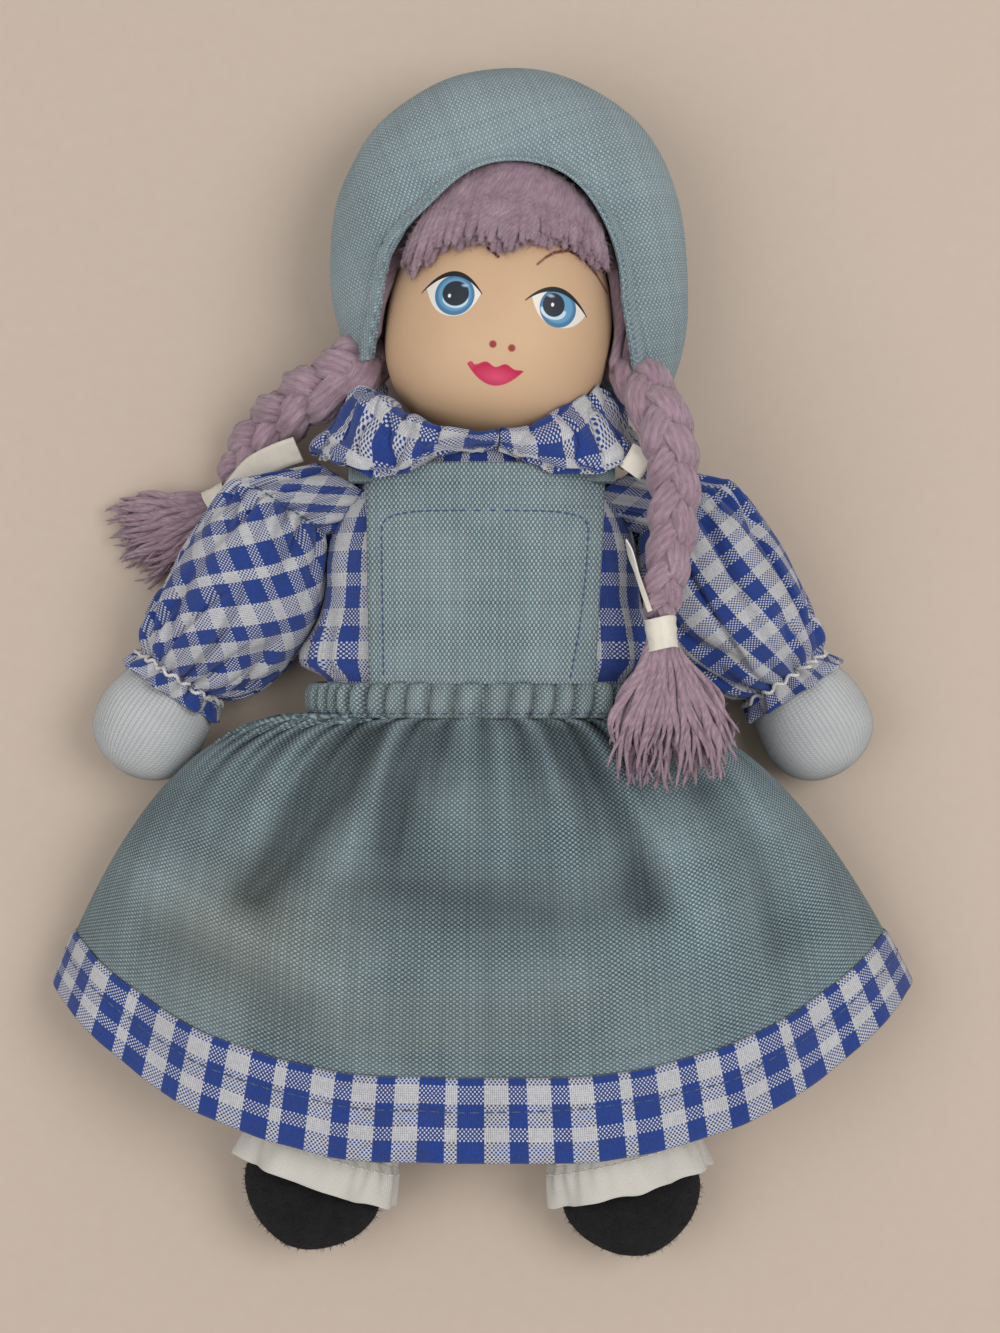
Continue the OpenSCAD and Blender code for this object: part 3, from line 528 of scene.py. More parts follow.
def yarn(name, dark, light, ply=1.5):
    finish = Finish(name, 0.95, Sheen_Weight=0.35, Sheen_Roughness=0.5, Specular_IOR_Level=0.15)
    x, y, _ = finish.split(finish.on_cut((1, 1)))
    twist = ((x * 1.3 + y) * (2 * pi / ply)).sine() * 0.5 + 0.5
    fibre = finish.noise(finish.on_cut((0.16, 1.6), 24), 4.0, 0.65)
    patch = finish.noise(finish.on_object(3.0), 3.0)
    height = twist * 0.12 + fibre
    tone = (height * 0.8 + patch * 0.5).calc("MULTIPLY_ADD", 1.5, -0.75, clamp=True)
    return finish.done(finish.blend(tone, rgb(*dark), rgb(*light)), height, 0.35, 1.0)


def satin():
    finish = Finish("ivory_satin", 0.35, Sheen_Weight=0.3, Specular_IOR_Level=0.55)
    x, _, _ = finish.split(finish.on_cut((0.12, 1.0)))
    line = (x * pi).sine().size()
    cloud = finish.noise(finish.on_object(1.6))
    colour = finish.blend(line * 0.5 + cloud * 0.5, rgb(190, 182, 168), rgb(238, 233, 220))
    return finish.done(colour, line, 0.03, 0.5)


def thread(name, dark, light):
    finish = Finish(name, 0.7, Sheen_Weight=0.2)
    x, y, z = finish.split(finish.on_object(1.0))
    twist = ((x + y + z) * (2 * pi / 0.5)).sine() * 0.5 + 0.5
    return finish.done(finish.blend(twist, rgb(*dark), rgb(*light)), twist, 0.06, 0.7)


white_cotton = cotton("white_cotton", (214, 211, 203))
stuffing = cotton("stuffing", (235, 232, 222))
black_felt = felt()
white_knit = knit()
mauve_yarn = yarn("mauve_yarn", (140, 111, 126), (212, 184, 198))
ivory_satin = satin()
navy_thread = thread("navy_thread", (44, 62, 98), (72, 92, 128))
white_thread = thread("white_thread", (186, 184, 180), (226, 224, 218))
print(len(bpy.data.materials), "materials")

# %% [markdown]
# The stuffed chest is never seen, but every garment lies on it. Its half width, half depth and
# middle height at a height y over the waist are the same curves as in the solids.

# %% The body under the clothes
BODY_Z, HEAD_Z, CHEST_LEN, BAND_LOW = 14.0, 19.7, 35.5, -2.5
BLOUSE, BIB_OUT, BAND_OUT = 1.0, 2.2, 3.2  # how far out each garment lies
WAIST_W, CHEST_W, NECK_HALF_W = 42, 43, 11
WAIST_D, CHEST_D, NECK_HALF_D = 21, 25, 9
SQUARE = 0.9  # below 1, an oval section is a little square
TABLE = 0.15  # the lowest that cloth lies


def share(y):
    return keep((y - BAND_LOW) / (CHEST_LEN - BAND_LOW))


def slope_in(u):
    return 1 if u < 0.5 else 1 - (2 * u - 1) ** 2.2


def fuller(a, b, u):
    return mix(a, b, sin(pi / 2 * min(1, 2 * u))) / 2


def chest_wide(y):
    return mix(NECK_HALF_W, fuller(WAIST_W, CHEST_W, share(y)), slope_in(share(y)))


def chest_deep(y):
    return mix(NECK_HALF_D, fuller(WAIST_D, CHEST_D, share(y)), slope_in(share(y)))


def chest_mid(y):
    return mix(BODY_Z, HEAD_Z, share(y) ** 3)


def round_chest(angle, y, off):
    """A point round the chest, off mm out from the stuffed body; 90 degrees is the front."""
    a = radians(angle)
    return ((chest_wide(y) + off) * power(cos(a), SQUARE), y,
            max(TABLE, chest_mid(y) + (chest_deep(y) + off) * power(sin(a), SQUARE)))


def on_chest(x, y, off, face=1):
    """A point of the chest's front, or of its back, at a distance x from the middle."""
    c = min(1, abs(x) / (chest_wide(y) + off)) ** (1 / SQUARE)
    return (x, y, max(TABLE, chest_mid(y) + face * (chest_deep(y) + off)
                      * sqrt(max(0, 1 - c * c)) ** SQUARE))


# %% [markdown]
# Blouse: a gingham tube round the chest. Its creases only ever sink in, so that the bib and
# straps that lie on it stay clear.

# %% Blouse body


def bodice_place(u, v):
    angle, y = 360 * u, mix(BAND_LOW + 0.2, CHEST_LEN, v)
    crease = 0.55 * abs(rumple(angle, y * 2.2, 3, 16)) + 0.3 * abs(rumple(angle, y * 4, 9, 7))
    x, y, z = round_chest(angle, y, BLOUSE - crease * sin(pi * v) ** 0.5)
    hang = 3.6 * ease(2.6, 5.2, y) * (1 - ease(5.5, 15, y)) * (0.8 + 0.3 * cos(angle / 2.6))
    return x + hang * power(cos(radians(angle)), 5), y, z


round_blouse = arc(lambda u: round_chest(360 * u, 12, BLOUSE))
bodice = cloth("blouse_body", 112, 64, bodice_place, lambda u, v: (round_blouse(u), v * 38),
               blouse_gingham, 0.5, (0, 15, 14))
dress(bodice, "torso", "bodice")

# %% [markdown]
# Bib: a linen panel that bellies out over the chest and is drawn in a little at the waistband.
# Stitching is real geometry: short grains of thread laid along a path on the cloth.

# %% Bib and its topstitching
BIB_LOW, BIB_HIGH = 2.2, 32.6
BIB_W_LOW, BIB_W_HIGH = 31, 33.4


def bib_half(y):
    return mix(BIB_W_LOW, BIB_W_HIGH, share(y)) / 2


def bib_point(s, y, off=0.0):
    """A point of the bib: s runs from -1 at its left edge to 1 at its right edge."""
    drawn = bell(y - BIB_LOW, 3.2)
    ruck = 0.35 * drawn * sin(9 * s + 2 * sin(3 * s))
    crease = -0.5 * bell((s - 0.42) * 15 - (y - 8) * 0.55, 1.3) * bell(y - 6, 5)
    wave = 0.18 * rumple(s * 15, y, 5, 7)
    rolled = -0.25 * ease(0.93, 1, abs(s))
    lean = 0.6 * (y / BIB_HIGH)
    x = bib_half(y) * s + lean
    return on_chest(x, y, BIB_OUT + 0.25 + ruck + crease + wave + rolled + off)


def stitches(name, line, material, long, gap, thick):
    """Running stitches along a line of places in mm: small grains of thread, end to end."""
    bm = bmesh.new()
    run = 0.0
    for a, b in zip(line, line[1:]):
        run += (b - a).length
        if run < long + gap:
            continue
        run = 0.0
        way = (b - a).normalized()
        turn = Vector((1, 0, 0)).rotation_difference(way).to_matrix().to_4x4()
        place = Matrix.Translation(doll(*((a + b) / 2))) @ turn
        grain = Matrix.Diagonal((long / 2 * MM, thick * MM * 1.3, thick * MM, 1))
        bmesh.ops.create_icosphere(bm, subdivisions=2, radius=1.0, matrix=place @ grain)
    return finish_mesh(name, bm, material)


bib = cloth("bib_panel", 84, 72, lambda u, v: bib_point(2 * u - 1, mix(BIB_LOW, BIB_HIGH, v)),
            plain_cut(34, 29), bib_linen, 0.75, (0, 15, 10))
dress(bib, "torso", "bib")

SEAM_IN, SEAM_TOP, SEAM_END, CORNER = 0.87, 26.0, BIB_LOW + 0.6, 4.0
seam = []
for i in range(901):
    t = i / 900 * 3
    if t < 1:
        s, y = -SEAM_IN, mix(SEAM_END, SEAM_TOP - CORNER, t)
    elif t < 2:
        a = pi * (2 - t)
        s = SEAM_IN * power(cos(a), 0.42)
        y = SEAM_TOP - CORNER + CORNER * power(sin(a), 0.42)
    else:
        s = mix(SEAM_IN, SEAM_IN - 0.1, (t - 2) ** 2)
        y = mix(SEAM_TOP - CORNER, SEAM_END, t - 2)
    seam.append(Vector(bib_point(s, y, 0.03)))
bib_seam = stitches("bib_topstitch", seam, navy_thread, 0.95, 0.12, 0.11)
dress(bib_seam, "torso")

# %% [markdown]
# Straps: two strips of linen that leave the bib, turn over the shoulder and run down the back.

# %% Straps
STRAP_X, STRAP_HALF = 16.2, 2.2
BEND_Y, STRAP_STEPS = CHEST_LEN - 3, 72


def strap_line():
    edge = STRAP_X - STRAP_HALF
    run = [Vector(on_chest(edge, mix(30.2, BEND_Y, u), 1.95)) for u in (0, 0.5, 1)]
    back = [Vector(on_chest(edge, mix(BEND_Y, 2.7, u / 8), 1.9, -1)) for u in range(9)]
    top, low = run[-1], back[0]
    for a in range(-70, 71, 14):
        a = radians(a)
        run.append(Vector((0, mix(top.y, low.y, 0.5) + 3.6 * cos(a),
                           mix(top.z, low.z, 0.5) - (top.z - low.z) / 2 * sin(a))))
    return smooth_route([(STRAP_X, p.y, p.z) for p in run + back], STRAP_STEPS)


strap_run = strap_line()
for side, label in SIDES:

    def strap_place(u, v):
        p = strap_run[round(v * STRAP_STEPS)]
        return side * (p.x + (2 * u - 1) * STRAP_HALF), p.y, max(0.2, p.z)

    strap = cloth(label + "_shoulder_strap", 8, STRAP_STEPS, strap_place,
                  plain_cut(4.4, 74), bib_linen, 0.7, (side * 16, 18, 15))
    dress(strap, "torso", label + "_strap")

# %% [markdown]
# Waistband: a linen casing drawn up on elastic. The pleats are round ridges with sharp valleys
# between them, each a little different, which is how gathered cloth stands. Shade is painted
# into the valleys.

# %% Waistband
BAND_HALF, PLEATS = 2.5, 46


def pleat(angle, n, spread=0.45):
    """0 in a valley and 1 on a ridge, for n uneven pleats round a full turn."""
    sway = spread * sin(radians(angle * 3 + 40)) + spread * sin(radians(angle * 5))
    return abs(cos(radians(angle * n / 2) + sway)) ** 0.7


def band_ridge(angle, t):
    return pleat(angle + 0.8 * t, PLEATS) * (1 + 0.4 * rumple(angle, 2 * t, 8, 6))


def band_place(u, v):
    angle, t = 360 * u, 2 * v - 1
    swell = max(0, 1 - abs(t) ** 3) ** 0.5
    ridge = band_ridge(angle, t)
    a = radians(angle)
    off = mix(1.5, 2.4, swell) + 1.6 * ridge * mix(0.5, 1, swell) - 0.3 * bell(t + 0.72, 0.12)
    wide, deep = chest_wide(BAND_HALF) + off, chest_deep(BAND_HALF) + off
    y = BAND_HALF * t + 0.3 * ease(0.5, 1, t) * rumple(angle, 1, 2, 9)
    return (wide * power(cos(a), SQUARE), y, max(TABLE, BODY_Z + deep * power(sin(a), SQUARE)))


# Its first mark paints shade into the pleat valleys and light onto the ridges; the second is a
# faint stain all round.
waistband = cloth("gathered_waistband", 456, 20, band_place, plain_cut(190, 6),
                  waist_linen, 0.5, (0, 0, 14),
                  lambda u, v: (keep(0.58 + 0.55 * band_ridge(360 * u, 2 * v - 1), 0.5, 1.12), 0.1))
dress(waistband, "torso", "waistband")
band_line = [Vector(band_place(0.5 * i / 1400, 0.14)) + Vector((0, 0, 0.12)) for i in range(1401)]
band_seam = stitches("waistband_stitching", band_line, navy_thread, 1.0, 0.55, 0.12)
dress(band_seam, "torso", "waist_thread")

# %% [markdown]
# Skirt: gathered linen that spreads from the waistband, flat on the table behind and lifted in
# front by the legs. Fine pleats start at the band and die out, and a few long folds, each with
# its own place, width and depth, run on towards the hem, as in the photograph. The same creases
# say where shade is painted into the hollows and light onto the ridges, and a few wide patches
# are made lighter or darker, and some are stained yellow.

# %% Skirt
SKIRT_TOP, SKIRT_LEN, SKIRT_HALF, HEM_RISE = -2.7, 62.0, 62.0, 24.0
SKIRT_HIGH, SIDE_FOLD, PRESS = 21.5, 2.6, 0.5
HEM_WIDE, BROAD_PLEATS = 12, 19
HEM_START = 1 - HEM_WIDE / SKIRT_LEN
# a line of places in mm as seen from the front, then the width and the height of the fold
FOLDS = [([(-15.4, -4), (-19.5, -10.5), (-24.7, -17.9), (-29.1, -23.7), (-32, -27)], 3.2, -5.2),
         ([(-21, -4), (-26.1, -10.5), (-33, -19)], 3.4, 1.3),
         ([(-12.4, -5.4), (-15.4, -13.5), (-20, -23), (-24, -31)], 3.4, 1.7),
         ([(-7.6, -5), (-10.8, -12.6), (-12.9, -20)], 2.2, -2.2),
         ([(-51, -22), (-43, -27.5), (-34, -32), (-21.3, -40)], 3.8, 2.2),
         ([(-46, -33), (-36, -37), (-27, -43)], 3.6, -1.8), ([(-42, -13), (-50, -19)], 4.0, -1.6),
         ([(-20, -27), (-12, -25.9), (2.5, -28.8), (12.8, -29.7), (21, -27)], 4.4, -1.9),
         ([(-3, -4), (-4, -11)], 1.8, -1.6), ([(3, -4), (4, -14), (3, -22)], 3.0, 1.1),
         ([(12.4, -4), (16.4, -10.5), (20.8, -19.3), (23, -28.2)], 2.8, -3.6),
         ([(17, -6), (25, -20), (30, -32)], 3.6, 1.5), ([(7, -4), (8.5, -13)], 2.0, -1.5),
         ([(24, -6), (30, -13)], 2.4, -2.0), ([(31.8, -12), (39.2, -23.8), (42, -34)], 3.4, -2.4),
         ([(37, -12), (46, -26)], 4.4, 1.3), ([(49, -22), (54, -30)], 3.2, -1.4)]


def fold_height(x, y):
    lift = 0.0
    for line, wide, high in FOLDS:
        near = 99.0
        for (ax, ay), (bx, by) in zip(line, line[1:]):
            dx, dy = bx - ax, by - ay
            t = keep(((x - ax) * dx + (y - ay) * dy) / (dx * dx + dy * dy))
            near = min(near, hypot(x - ax - t * dx, y - ay - t * dy))
        lift += high * exp(-((near / wide) ** 1.4))
    return lift


SEAT_TOP, SEAT_LEN, SEAT_Z, SEAT_HALF, SEAT_DEEP = -2.9, 22, 12.5, 22, 10


def seat_ring(t):
    """Half width and half depth of the pantaloon seat, t from 0 at the waist to 1 at its end."""
    s = sqrt(max(0, 1 - t ** 6)) * mix(0.93, 1, sin(pi / 2 * min(1, 2 * t)))
    return SEAT_HALF * s + 1, SEAT_DEEP * s + 1


def seat_front(x, y):
    """Height of the pantaloon seat's front, which the skirt rests on."""
    wide, deep = seat_ring(keep((SEAT_TOP - y) / SEAT_LEN))
    top = SEAT_Z + 1 + deep * max(0, 1 - min(1, abs(x) / wide) ** 2.22) ** 0.45
    return top * keep((wide - abs(x)) / 1.5) * keep((y + 24.5) / 2)


def skirt_creases(angle, v, x, y):
    """Height of the pleats and folds of the skirt's front."""
    front = max(0.0, sin(radians(angle)))
    reach = 0.15 + 0.07 * rumple(angle, 3, 0, 17)
    fine = -3.2 * (1 - pleat(angle, PLEATS)) * bell(v, reach) * ease(0, 0.03, v + 0.012)
    broad = -2.6 * (1 - pleat(angle, BROAD_PLEATS, 1.1)) * bell(v - 0.12, 0.19)
    folds = fold_height(x, y) * ease(0, 0.05, v) * (1 - ease(0.8, 1, v))
    return fine * ease(0, 0.4, front) + broad * front + folds * front ** 0.5


def skirt_point(angle, v, off=0.0):
    a = radians(angle)
    c, s = cos(a), sin(a)
    front = max(0.0, s)
    wide = chest_wide(BAND_HALF) + BAND_OUT - 0.7 + off
    deep = chest_deep(BAND_HALF) + BAND_OUT - 0.7 + off
    top = (wide * power(c, SQUARE), SKIRT_TOP + 0.4, BODY_Z + deep * power(s, SQUARE))
    if s < 0:
        low_z = SIDE_FOLD + (SIDE_FOLD + PRESS + off) * power(s, 0.4)
    else:
        low_z = SIDE_FOLD + (SKIRT_HIGH - SIDE_FOLD + off) * power(s, 0.7)
    low = ((SKIRT_HALF + off) * power(c, 0.85),
           SKIRT_TOP - SKIRT_LEN + HEM_RISE * abs(c) ** 2.4, low_z)
    drop = v ** mix(1, 0.35, ease(0, 0.3, -s))
    z = mix(top[2], low[2], drop) + 2.5 * sin(pi * v) * front
    spread, y = mix(top[0], low[0], v ** (0.47 + 0.05 * c)), mix(top[1], low[1], v)
    wave = 0.8 * cos(radians(14 * angle)) * v ** 0.7 * front ** 0.6
    soft = 0.6 * rumple(spread, y, 1, 9) * sin(pi * v) * front
    lift = skirt_creases(angle, v, spread, y) + wave + soft
    if s < 0:
        return spread, y, max(0.12, z)
    return spread, y, max(z + lift, seat_front(spread, y), 0.12)


round_skirt = arc(lambda u: skirt_point(360 * u, 0.75))


def skirt_cut(angle, v):
    around = (round_skirt(angle / 360) - round_skirt(0.25)) * mix(0.62, 1, v ** 0.5)
    return around, v * 64


# soft patches: place and size in mm, then how much lighter and how yellow they are
PATCHES = [(0, -27, 15, 11, -0.16, 0), (27, -24, 13, 17, 0.14, 0), (-33, -32, 17, 11, 0.06, 0.42),
           (-10, -45, 26, 6, 0.0, 0.2), (14, -40, 9, 5, 0.08, 0.12), (-18, -12, 6, 7, -0.08, 0.1)]


def skirt_shade_and_stain(angle, v):
    """Painted shade in the hollows of the folds and painted light on their ridges, wide patches
    made lighter or darker, and the stains that lie across both.
    """
    x, y, _ = skirt_point(angle, v)
    if sin(radians(angle)) < 0:
        return 0.9, 0.1
    near = [(exp(-((x - px) / wide) ** 2 - ((y - py) / high) ** 2), lighter, yellow)
            for px, py, wide, high, lighter, yellow in PATCHES]
    pale = sum(n * lighter for n, lighter, _ in near)
    stain = sum(n * yellow for n, _, yellow in near)
    # The first number darkens the fold hollows with painted shade and lightens the ridges with
    # painted light, plus the patches.
    return keep(1 + 0.17 * skirt_creases(angle, v, x, y) + pale, 0.5, 1.24), stain


skirt = cloth("gathered_skirt", 400, 84, lambda u, v: skirt_point(360 * u, v * HEM_START),
              lambda u, v: skirt_cut(360 * u, v * HEM_START), skirt_linen, 0.6, (0, -30, 8),
              lambda u, v: skirt_shade_and_stain(360 * u, v * HEM_START))
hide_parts("skirt")
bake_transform(skirt)

# %% [markdown]
# Hem band: a turned-up strip of gingham round the foot of the skirt, with one row of stitching.
# It stands a thread's thickness proud of the linen and is rolled under at its lower edge.

# %% Hem band
BAND_STEP = 0.35


def hem_place(u, v):
    angle = 360 * u
    along = mix(HEM_START - 0.004, 1, min(1, v * 1.06))
    roll = -0.7 * ease(0.95, 1, v) - 0.3 * bell(v, 0.03)
    ripple = 0.16 * rumple(angle, v * 12, 4, 5)
    x, y, z = skirt_point(angle, along, BAND_STEP + roll)
    lift = BAND_STEP + ripple if sin(radians(angle)) > 0 else 0
    uneven = 0.25 * rumple(angle, 7, 2, 6) * keep(20 * sin(pi * u))
    floor = mix(0.1, 0.6, ease(0.9, 1, v))
    return x, y + uneven, max(floor, z + lift + roll * (0.4 if lift else 0))


round_hem = arc(lambda u: hem_place(u, 0.5))
hem_band = cloth("hem_band_gingham", 460, 24, hem_place,
                 lambda u, v: (round_hem(u), (1 - v) * HEM_WIDE), hem_gingham, 0.6, (0, -30, 8))
dress(hem_band, "lap", "hem_band")
hem_line = [Vector(hem_place(0.002 + 0.496 * i / 1600, 0.36 + 0.06 * rumple(i, 0, 0, 150)))
            + Vector((0, 0, 0.06)) for i in range(1601)]
hem_seam = stitches("hem_stitching", hem_line, navy_thread, 1.5, 0.3, 0.1)
dress(hem_seam, "lap")

# %% [markdown]
# Sleeves: puffed tubes of gingham, gathered into the armhole and drawn in by elastic thread
# above a short frill. Pleats are deep at both ends and fade over the puff. The head of the
# sleeve follows the blouse and the rest follows the arm, so that it bends at the shoulder.

# %% Sleeves
ARM_X, ARM_Y, ARM_DROP = 28.0, 27.0, radians(57)
SLEEVE_LEN, FRILL, CUFF_R, CUFF_Z, HEAD_IN = 28.0, 3.0, 6.6, 8.4, 8.0
ARMHOLE_W, ARMHOLE_H, PUFF_W, PUFF_H = 7.6, 7.4, 11.2, 11.3


def on_arm(side, x, y, z):
    """x runs down the arm from the shoulder seam, y across it towards the head."""
    c, s = cos(ARM_DROP), sin(ARM_DROP)
    return side * (ARM_X + x * c + y * s), ARM_Y - x * s + y * c, max(TABLE, z)


def arm_mid(x):
    high = mix(BODY_Z, 11.6, sin(pi / 2 * keep(x / 16.8))) + 2.5 * keep(-x / HEAD_IN)
    if x < SLEEVE_LEN / 2:
        return high
    return mix(high, CUFF_Z, keep(x / SLEEVE_LEN * 2 - 1))


def sleeve_place(side, angle, x, off=0.0):
    a = radians(angle)
    u = keep(x / SLEEVE_LEN)
    head = keep(-x / HEAD_IN)
    puff = sin(pi * u) ** 0.55
    wide = mix(mix(ARMHOLE_W, CUFF_R, u), PUFF_W, puff) - 0.2 * head
    high = mix(mix(ARMHOLE_H, CUFF_R, u), PUFF_H, puff) - 0.9 * head
    shift = -1.7 * sin(pi * u) - 8.0 * head
    lip = keep((x - SLEEVE_LEN) / FRILL)
    fold = pleat(angle + side * 20, 17, 0.7) - 0.6
    ends = 1.3 * bell(x + 0.5, 7) + 1.3 * bell(x - SLEEVE_LEN, 6) * (1 - lip)
    frill = lip ** 0.7 + 0.85 * lip * cos(a * 9 + 1.2 * sin(2 * a))
    soft = 0.7 * rumple(cos(a) * 8, sin(a) * 8 + side * 30, x * 0.45, 5) * puff
    vein = rumple(cos(a) * 8 + side * 21, sin(a) * 8, x * 0.16, 3.6)
    crease = -1.5 * bell(vein, 0.13) * (1 - lip) * (1 - head)
    tuck = 0.4 * bell(x - SLEEVE_LEN, 1.0)
    k = fold * ends + frill + soft + crease + off - tuck
    return on_arm(side, x, shift + (wide + k) * cos(a),
                  arm_mid(x) + (high + k) * sin(a))


for side, label, cloth_finish in ((-1, "left", left_sleeve_gingham),
                                  (1, "right", right_sleeve_gingham)):
    sleeve = cloth(label + "_puff_sleeve", 260, 100,
                   lambda u, v: sleeve_place(side, 360 * u, mix(-HEAD_IN, SLEEVE_LEN + FRILL, v)),
                   plain_cut(71, 52), cloth_finish, 0.5,
                   on_arm(side, 14, 0, 11))
    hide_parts(label + "_sleeve")
    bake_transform(sleeve)
    bm = bmesh.new()
    ring = [Vector(sleeve_place(side, 360 * i / 150, SLEEVE_LEN + 0.5 + 0.35 * sin(i * 0.8),
                                0.22)) for i in range(151)]
    tube(bm, ring, lambda t: 0.26, 7)
    elastic = finish_mesh(label + "_cuff_elastic_thread", bm, white_thread)
    dress(elastic, label + "_arm", label + "_cuff_elastic")
    seam = [Vector(sleeve_place(side, mix(35, 145, i / 400), -0.4, 0.12)) for i in range(401)]
    armhole = stitches(label + "_armhole_stitching", seam, navy_thread, 0.8, 0.3, 0.1)
    dress(armhole, "torso", label + "_shoulder_thread")

# %% [markdown]
# Arms: stuffed tubes of ribbed knit that end in round mitten hands. The ribs run down the hand.

# %% Mitten arms
ARM_LEN, ARM_R, HAND_R, WRIST, RIBS = 44.4, 3.9, 7.5, 28.0, 66


def mitten_place(side, u, v):
    a = 2 * pi * u
    x = mix(1.0, ARM_LEN, 1 - (1 - v) ** 1.35)
    hand = (x - WRIST) / (ARM_LEN - WRIST)
    if hand < 0:
        r, z = ARM_R * keep(0.6 + x / 8), mix(arm_mid(x), HAND_R + 0.4, (x / WRIST) ** 2)
    else:
        end = max(0.0, 2 * hand - 1)
        r = mix(ARM_R, HAND_R, sin(pi * min(0.5, hand)) ** 0.5) * max(0, 1 - end ** 2.5) ** 0.5
        r, z = max(r, 0.02), HAND_R + 0.3
    rib = 0.09 * cos(RIBS * a) * min(1, r / 4)
    lump = 0.35 * rumple(cos(a) * 4 + side * 9, sin(a) * 4, x, 5) * min(1, r / 4)
    r = r + rib + lump if r > 0.2 else r
    return on_arm(side, x, r * cos(a) * 1.06, z + r * 0.95 * sin(a))


for side, label in SIDES:
    mitten = cloth(label + "_mitten_arm", 264, 90, lambda u, v: mitten_place(side, u, v),
                   plain_cut(41, 44), white_knit, 0, on_arm(side, 30, 0, 7))
    dress(mitten, label + "_arm", label + "_arm")

# %% [markdown]
# Legs: a stuffed leg inside a white cotton pantaloon leg, which is gathered by a row of
# stitching into a frill, and a black felt shoe whose round toe comes out from under it.

# %% Legs, pantaloons, frills and shoes
HIP_X, HIP_Y, LEG_Z = 11.5, -32.5, 9.0
SPLAY = {-1: radians(19), 1: radians(14.5)}
PANT_TOP, PANT_END, PANT_DEEP, FRILL_AT = -3.0, 38.5, 7.7, 32.5
LEG_LEN, LEG_R = 31.5, 6
SHOE_LEN, SHOE_HALF, SHOE_DEEP, SHOE_Z = 17.5, 10, 6.6, 8.2


def on_leg(side, x, y, z):
    """x runs down the leg from the hip, y across it, away from the other leg."""
    c, s = cos(SPLAY[side]), sin(SPLAY[side])
    return side * (HIP_X + x * s + y * c), HIP_Y - x * c + y * s, max(TABLE, z)


def pant_half(x):
    return mix(8.2, 11.6, (x - PANT_TOP) / (PANT_END - PANT_TOP))


def pant_place(side, u, v, low, high, frilled):
    a = 2 * pi * u
    x = mix(low, high, v)
    drawn = -0.7 * bell(x - FRILL_AT, 1.1)
    flare = 0.9 * keep((x - FRILL_AT) / 6) if frilled else 0
    folds = 0.35 * cos(7 * a + side) + 0.5 * rumple(cos(a) * 9, sin(a) * 9, x + side * 60, 6)
    gathers = 0.28 * cos(23 * a + 2 * sin(3 * a)) * bell(x - FRILL_AT, 4)
    waves = 0.7 * cos(8 * a + side * 2) * keep((x - FRILL_AT) / 6) if frilled else 0
    k = drawn + flare + (0.5 if frilled else 1) * folds + gathers + waves
    end = 0.5 * rumple(a * 3, side * 5, 0, 1) * keep((x - FRILL_AT - 3) / 3) if frilled else 0
    return on_leg(side, x + end, (pant_half(min(x, FRILL_AT + 0.2)) + k) * cos(a),
                  LEG_Z + (PANT_DEEP + 0.7 * k) * sin(a))


def shoe_place(side, u, v):
    a = 2 * pi * u
    t = v ** 0.9
    x = LEG_LEN + 0.2 + t * (SHOE_LEN - 0.2)
    if t < 0.45:
        k = mix(0.62, 1, sin(pi / 2 * t / 0.45))
    else:
        k = max(0, 1 - ((t - 0.45) / 0.55) ** 1.9) ** 0.6
    lump = 0.25 * rumple(cos(a) * 6, sin(a) * 6 + side * 20, x, 4)
    wide, high = max(0.02, SHOE_HALF * k), max(0.02, SHOE_DEEP * mix(0.82, 1, t) * k)
    if k > 0.1:
        wide, high = wide + lump, high + lump
    return on_leg(side, x, wide * cos(a), SHOE_Z + high * sin(a))


def leg_place(side, u, v):
    a = 2 * pi * u
    x = mix(-LEG_R, LEG_LEN, v)
    r = LEG_R * sqrt(max(0, 1 - (min(0, x) / LEG_R) ** 2))
    r = max(0.02, r + (0.2 * rumple(a * 2, x, side * 9, 3) if 0.02 < v < 0.98 else 0))
    return on_leg(side, x, r * cos(a), LEG_Z + 0.9 * r * sin(a))


def fuzz(bm, count, long, thick, seed):
    """Loose fibres: thin three-sided cones that stand off random faces, leaning every way."""
    dice = random.Random(seed)
    bm.normal_update()
    faces = list(bm.faces)
    spots = [(f.calc_center_median(), f.normal.copy()) for f in dice.choices(faces, k=count)]
    for start in range(0, count, 100):
        tuft = bmesh.new()
        for spot, normal in spots[start:start + 100]:
            way = (normal * 0.9 + Vector([dice.uniform(-1, 1) for _ in range(3)])).normalized()
            if way.dot(normal) < 0.1:
                way = (way + normal).normalized()
            size = long * dice.uniform(0.5, 1.2) * MM
            turn = UP.rotation_difference(way).to_matrix().to_4x4()
            bmesh.ops.create_cone(tuft, segments=3, radius1=thick * MM, radius2=0, depth=size,
                                  cap_ends=False,
                                  matrix=Matrix.Translation(spot + way * size * 0.45) @ turn)
        join(bm, tuft)


def refit(piece, change):
    """Opens a finished mesh again, changes it and puts it back."""
    bm = bmesh.new()
    bm.from_mesh(piece.data)
    bm.faces.ensure_lookup_table()
    change(bm)
    bm.to_mesh(piece.data)
    bm.free()
    piece.data.shade_smooth()


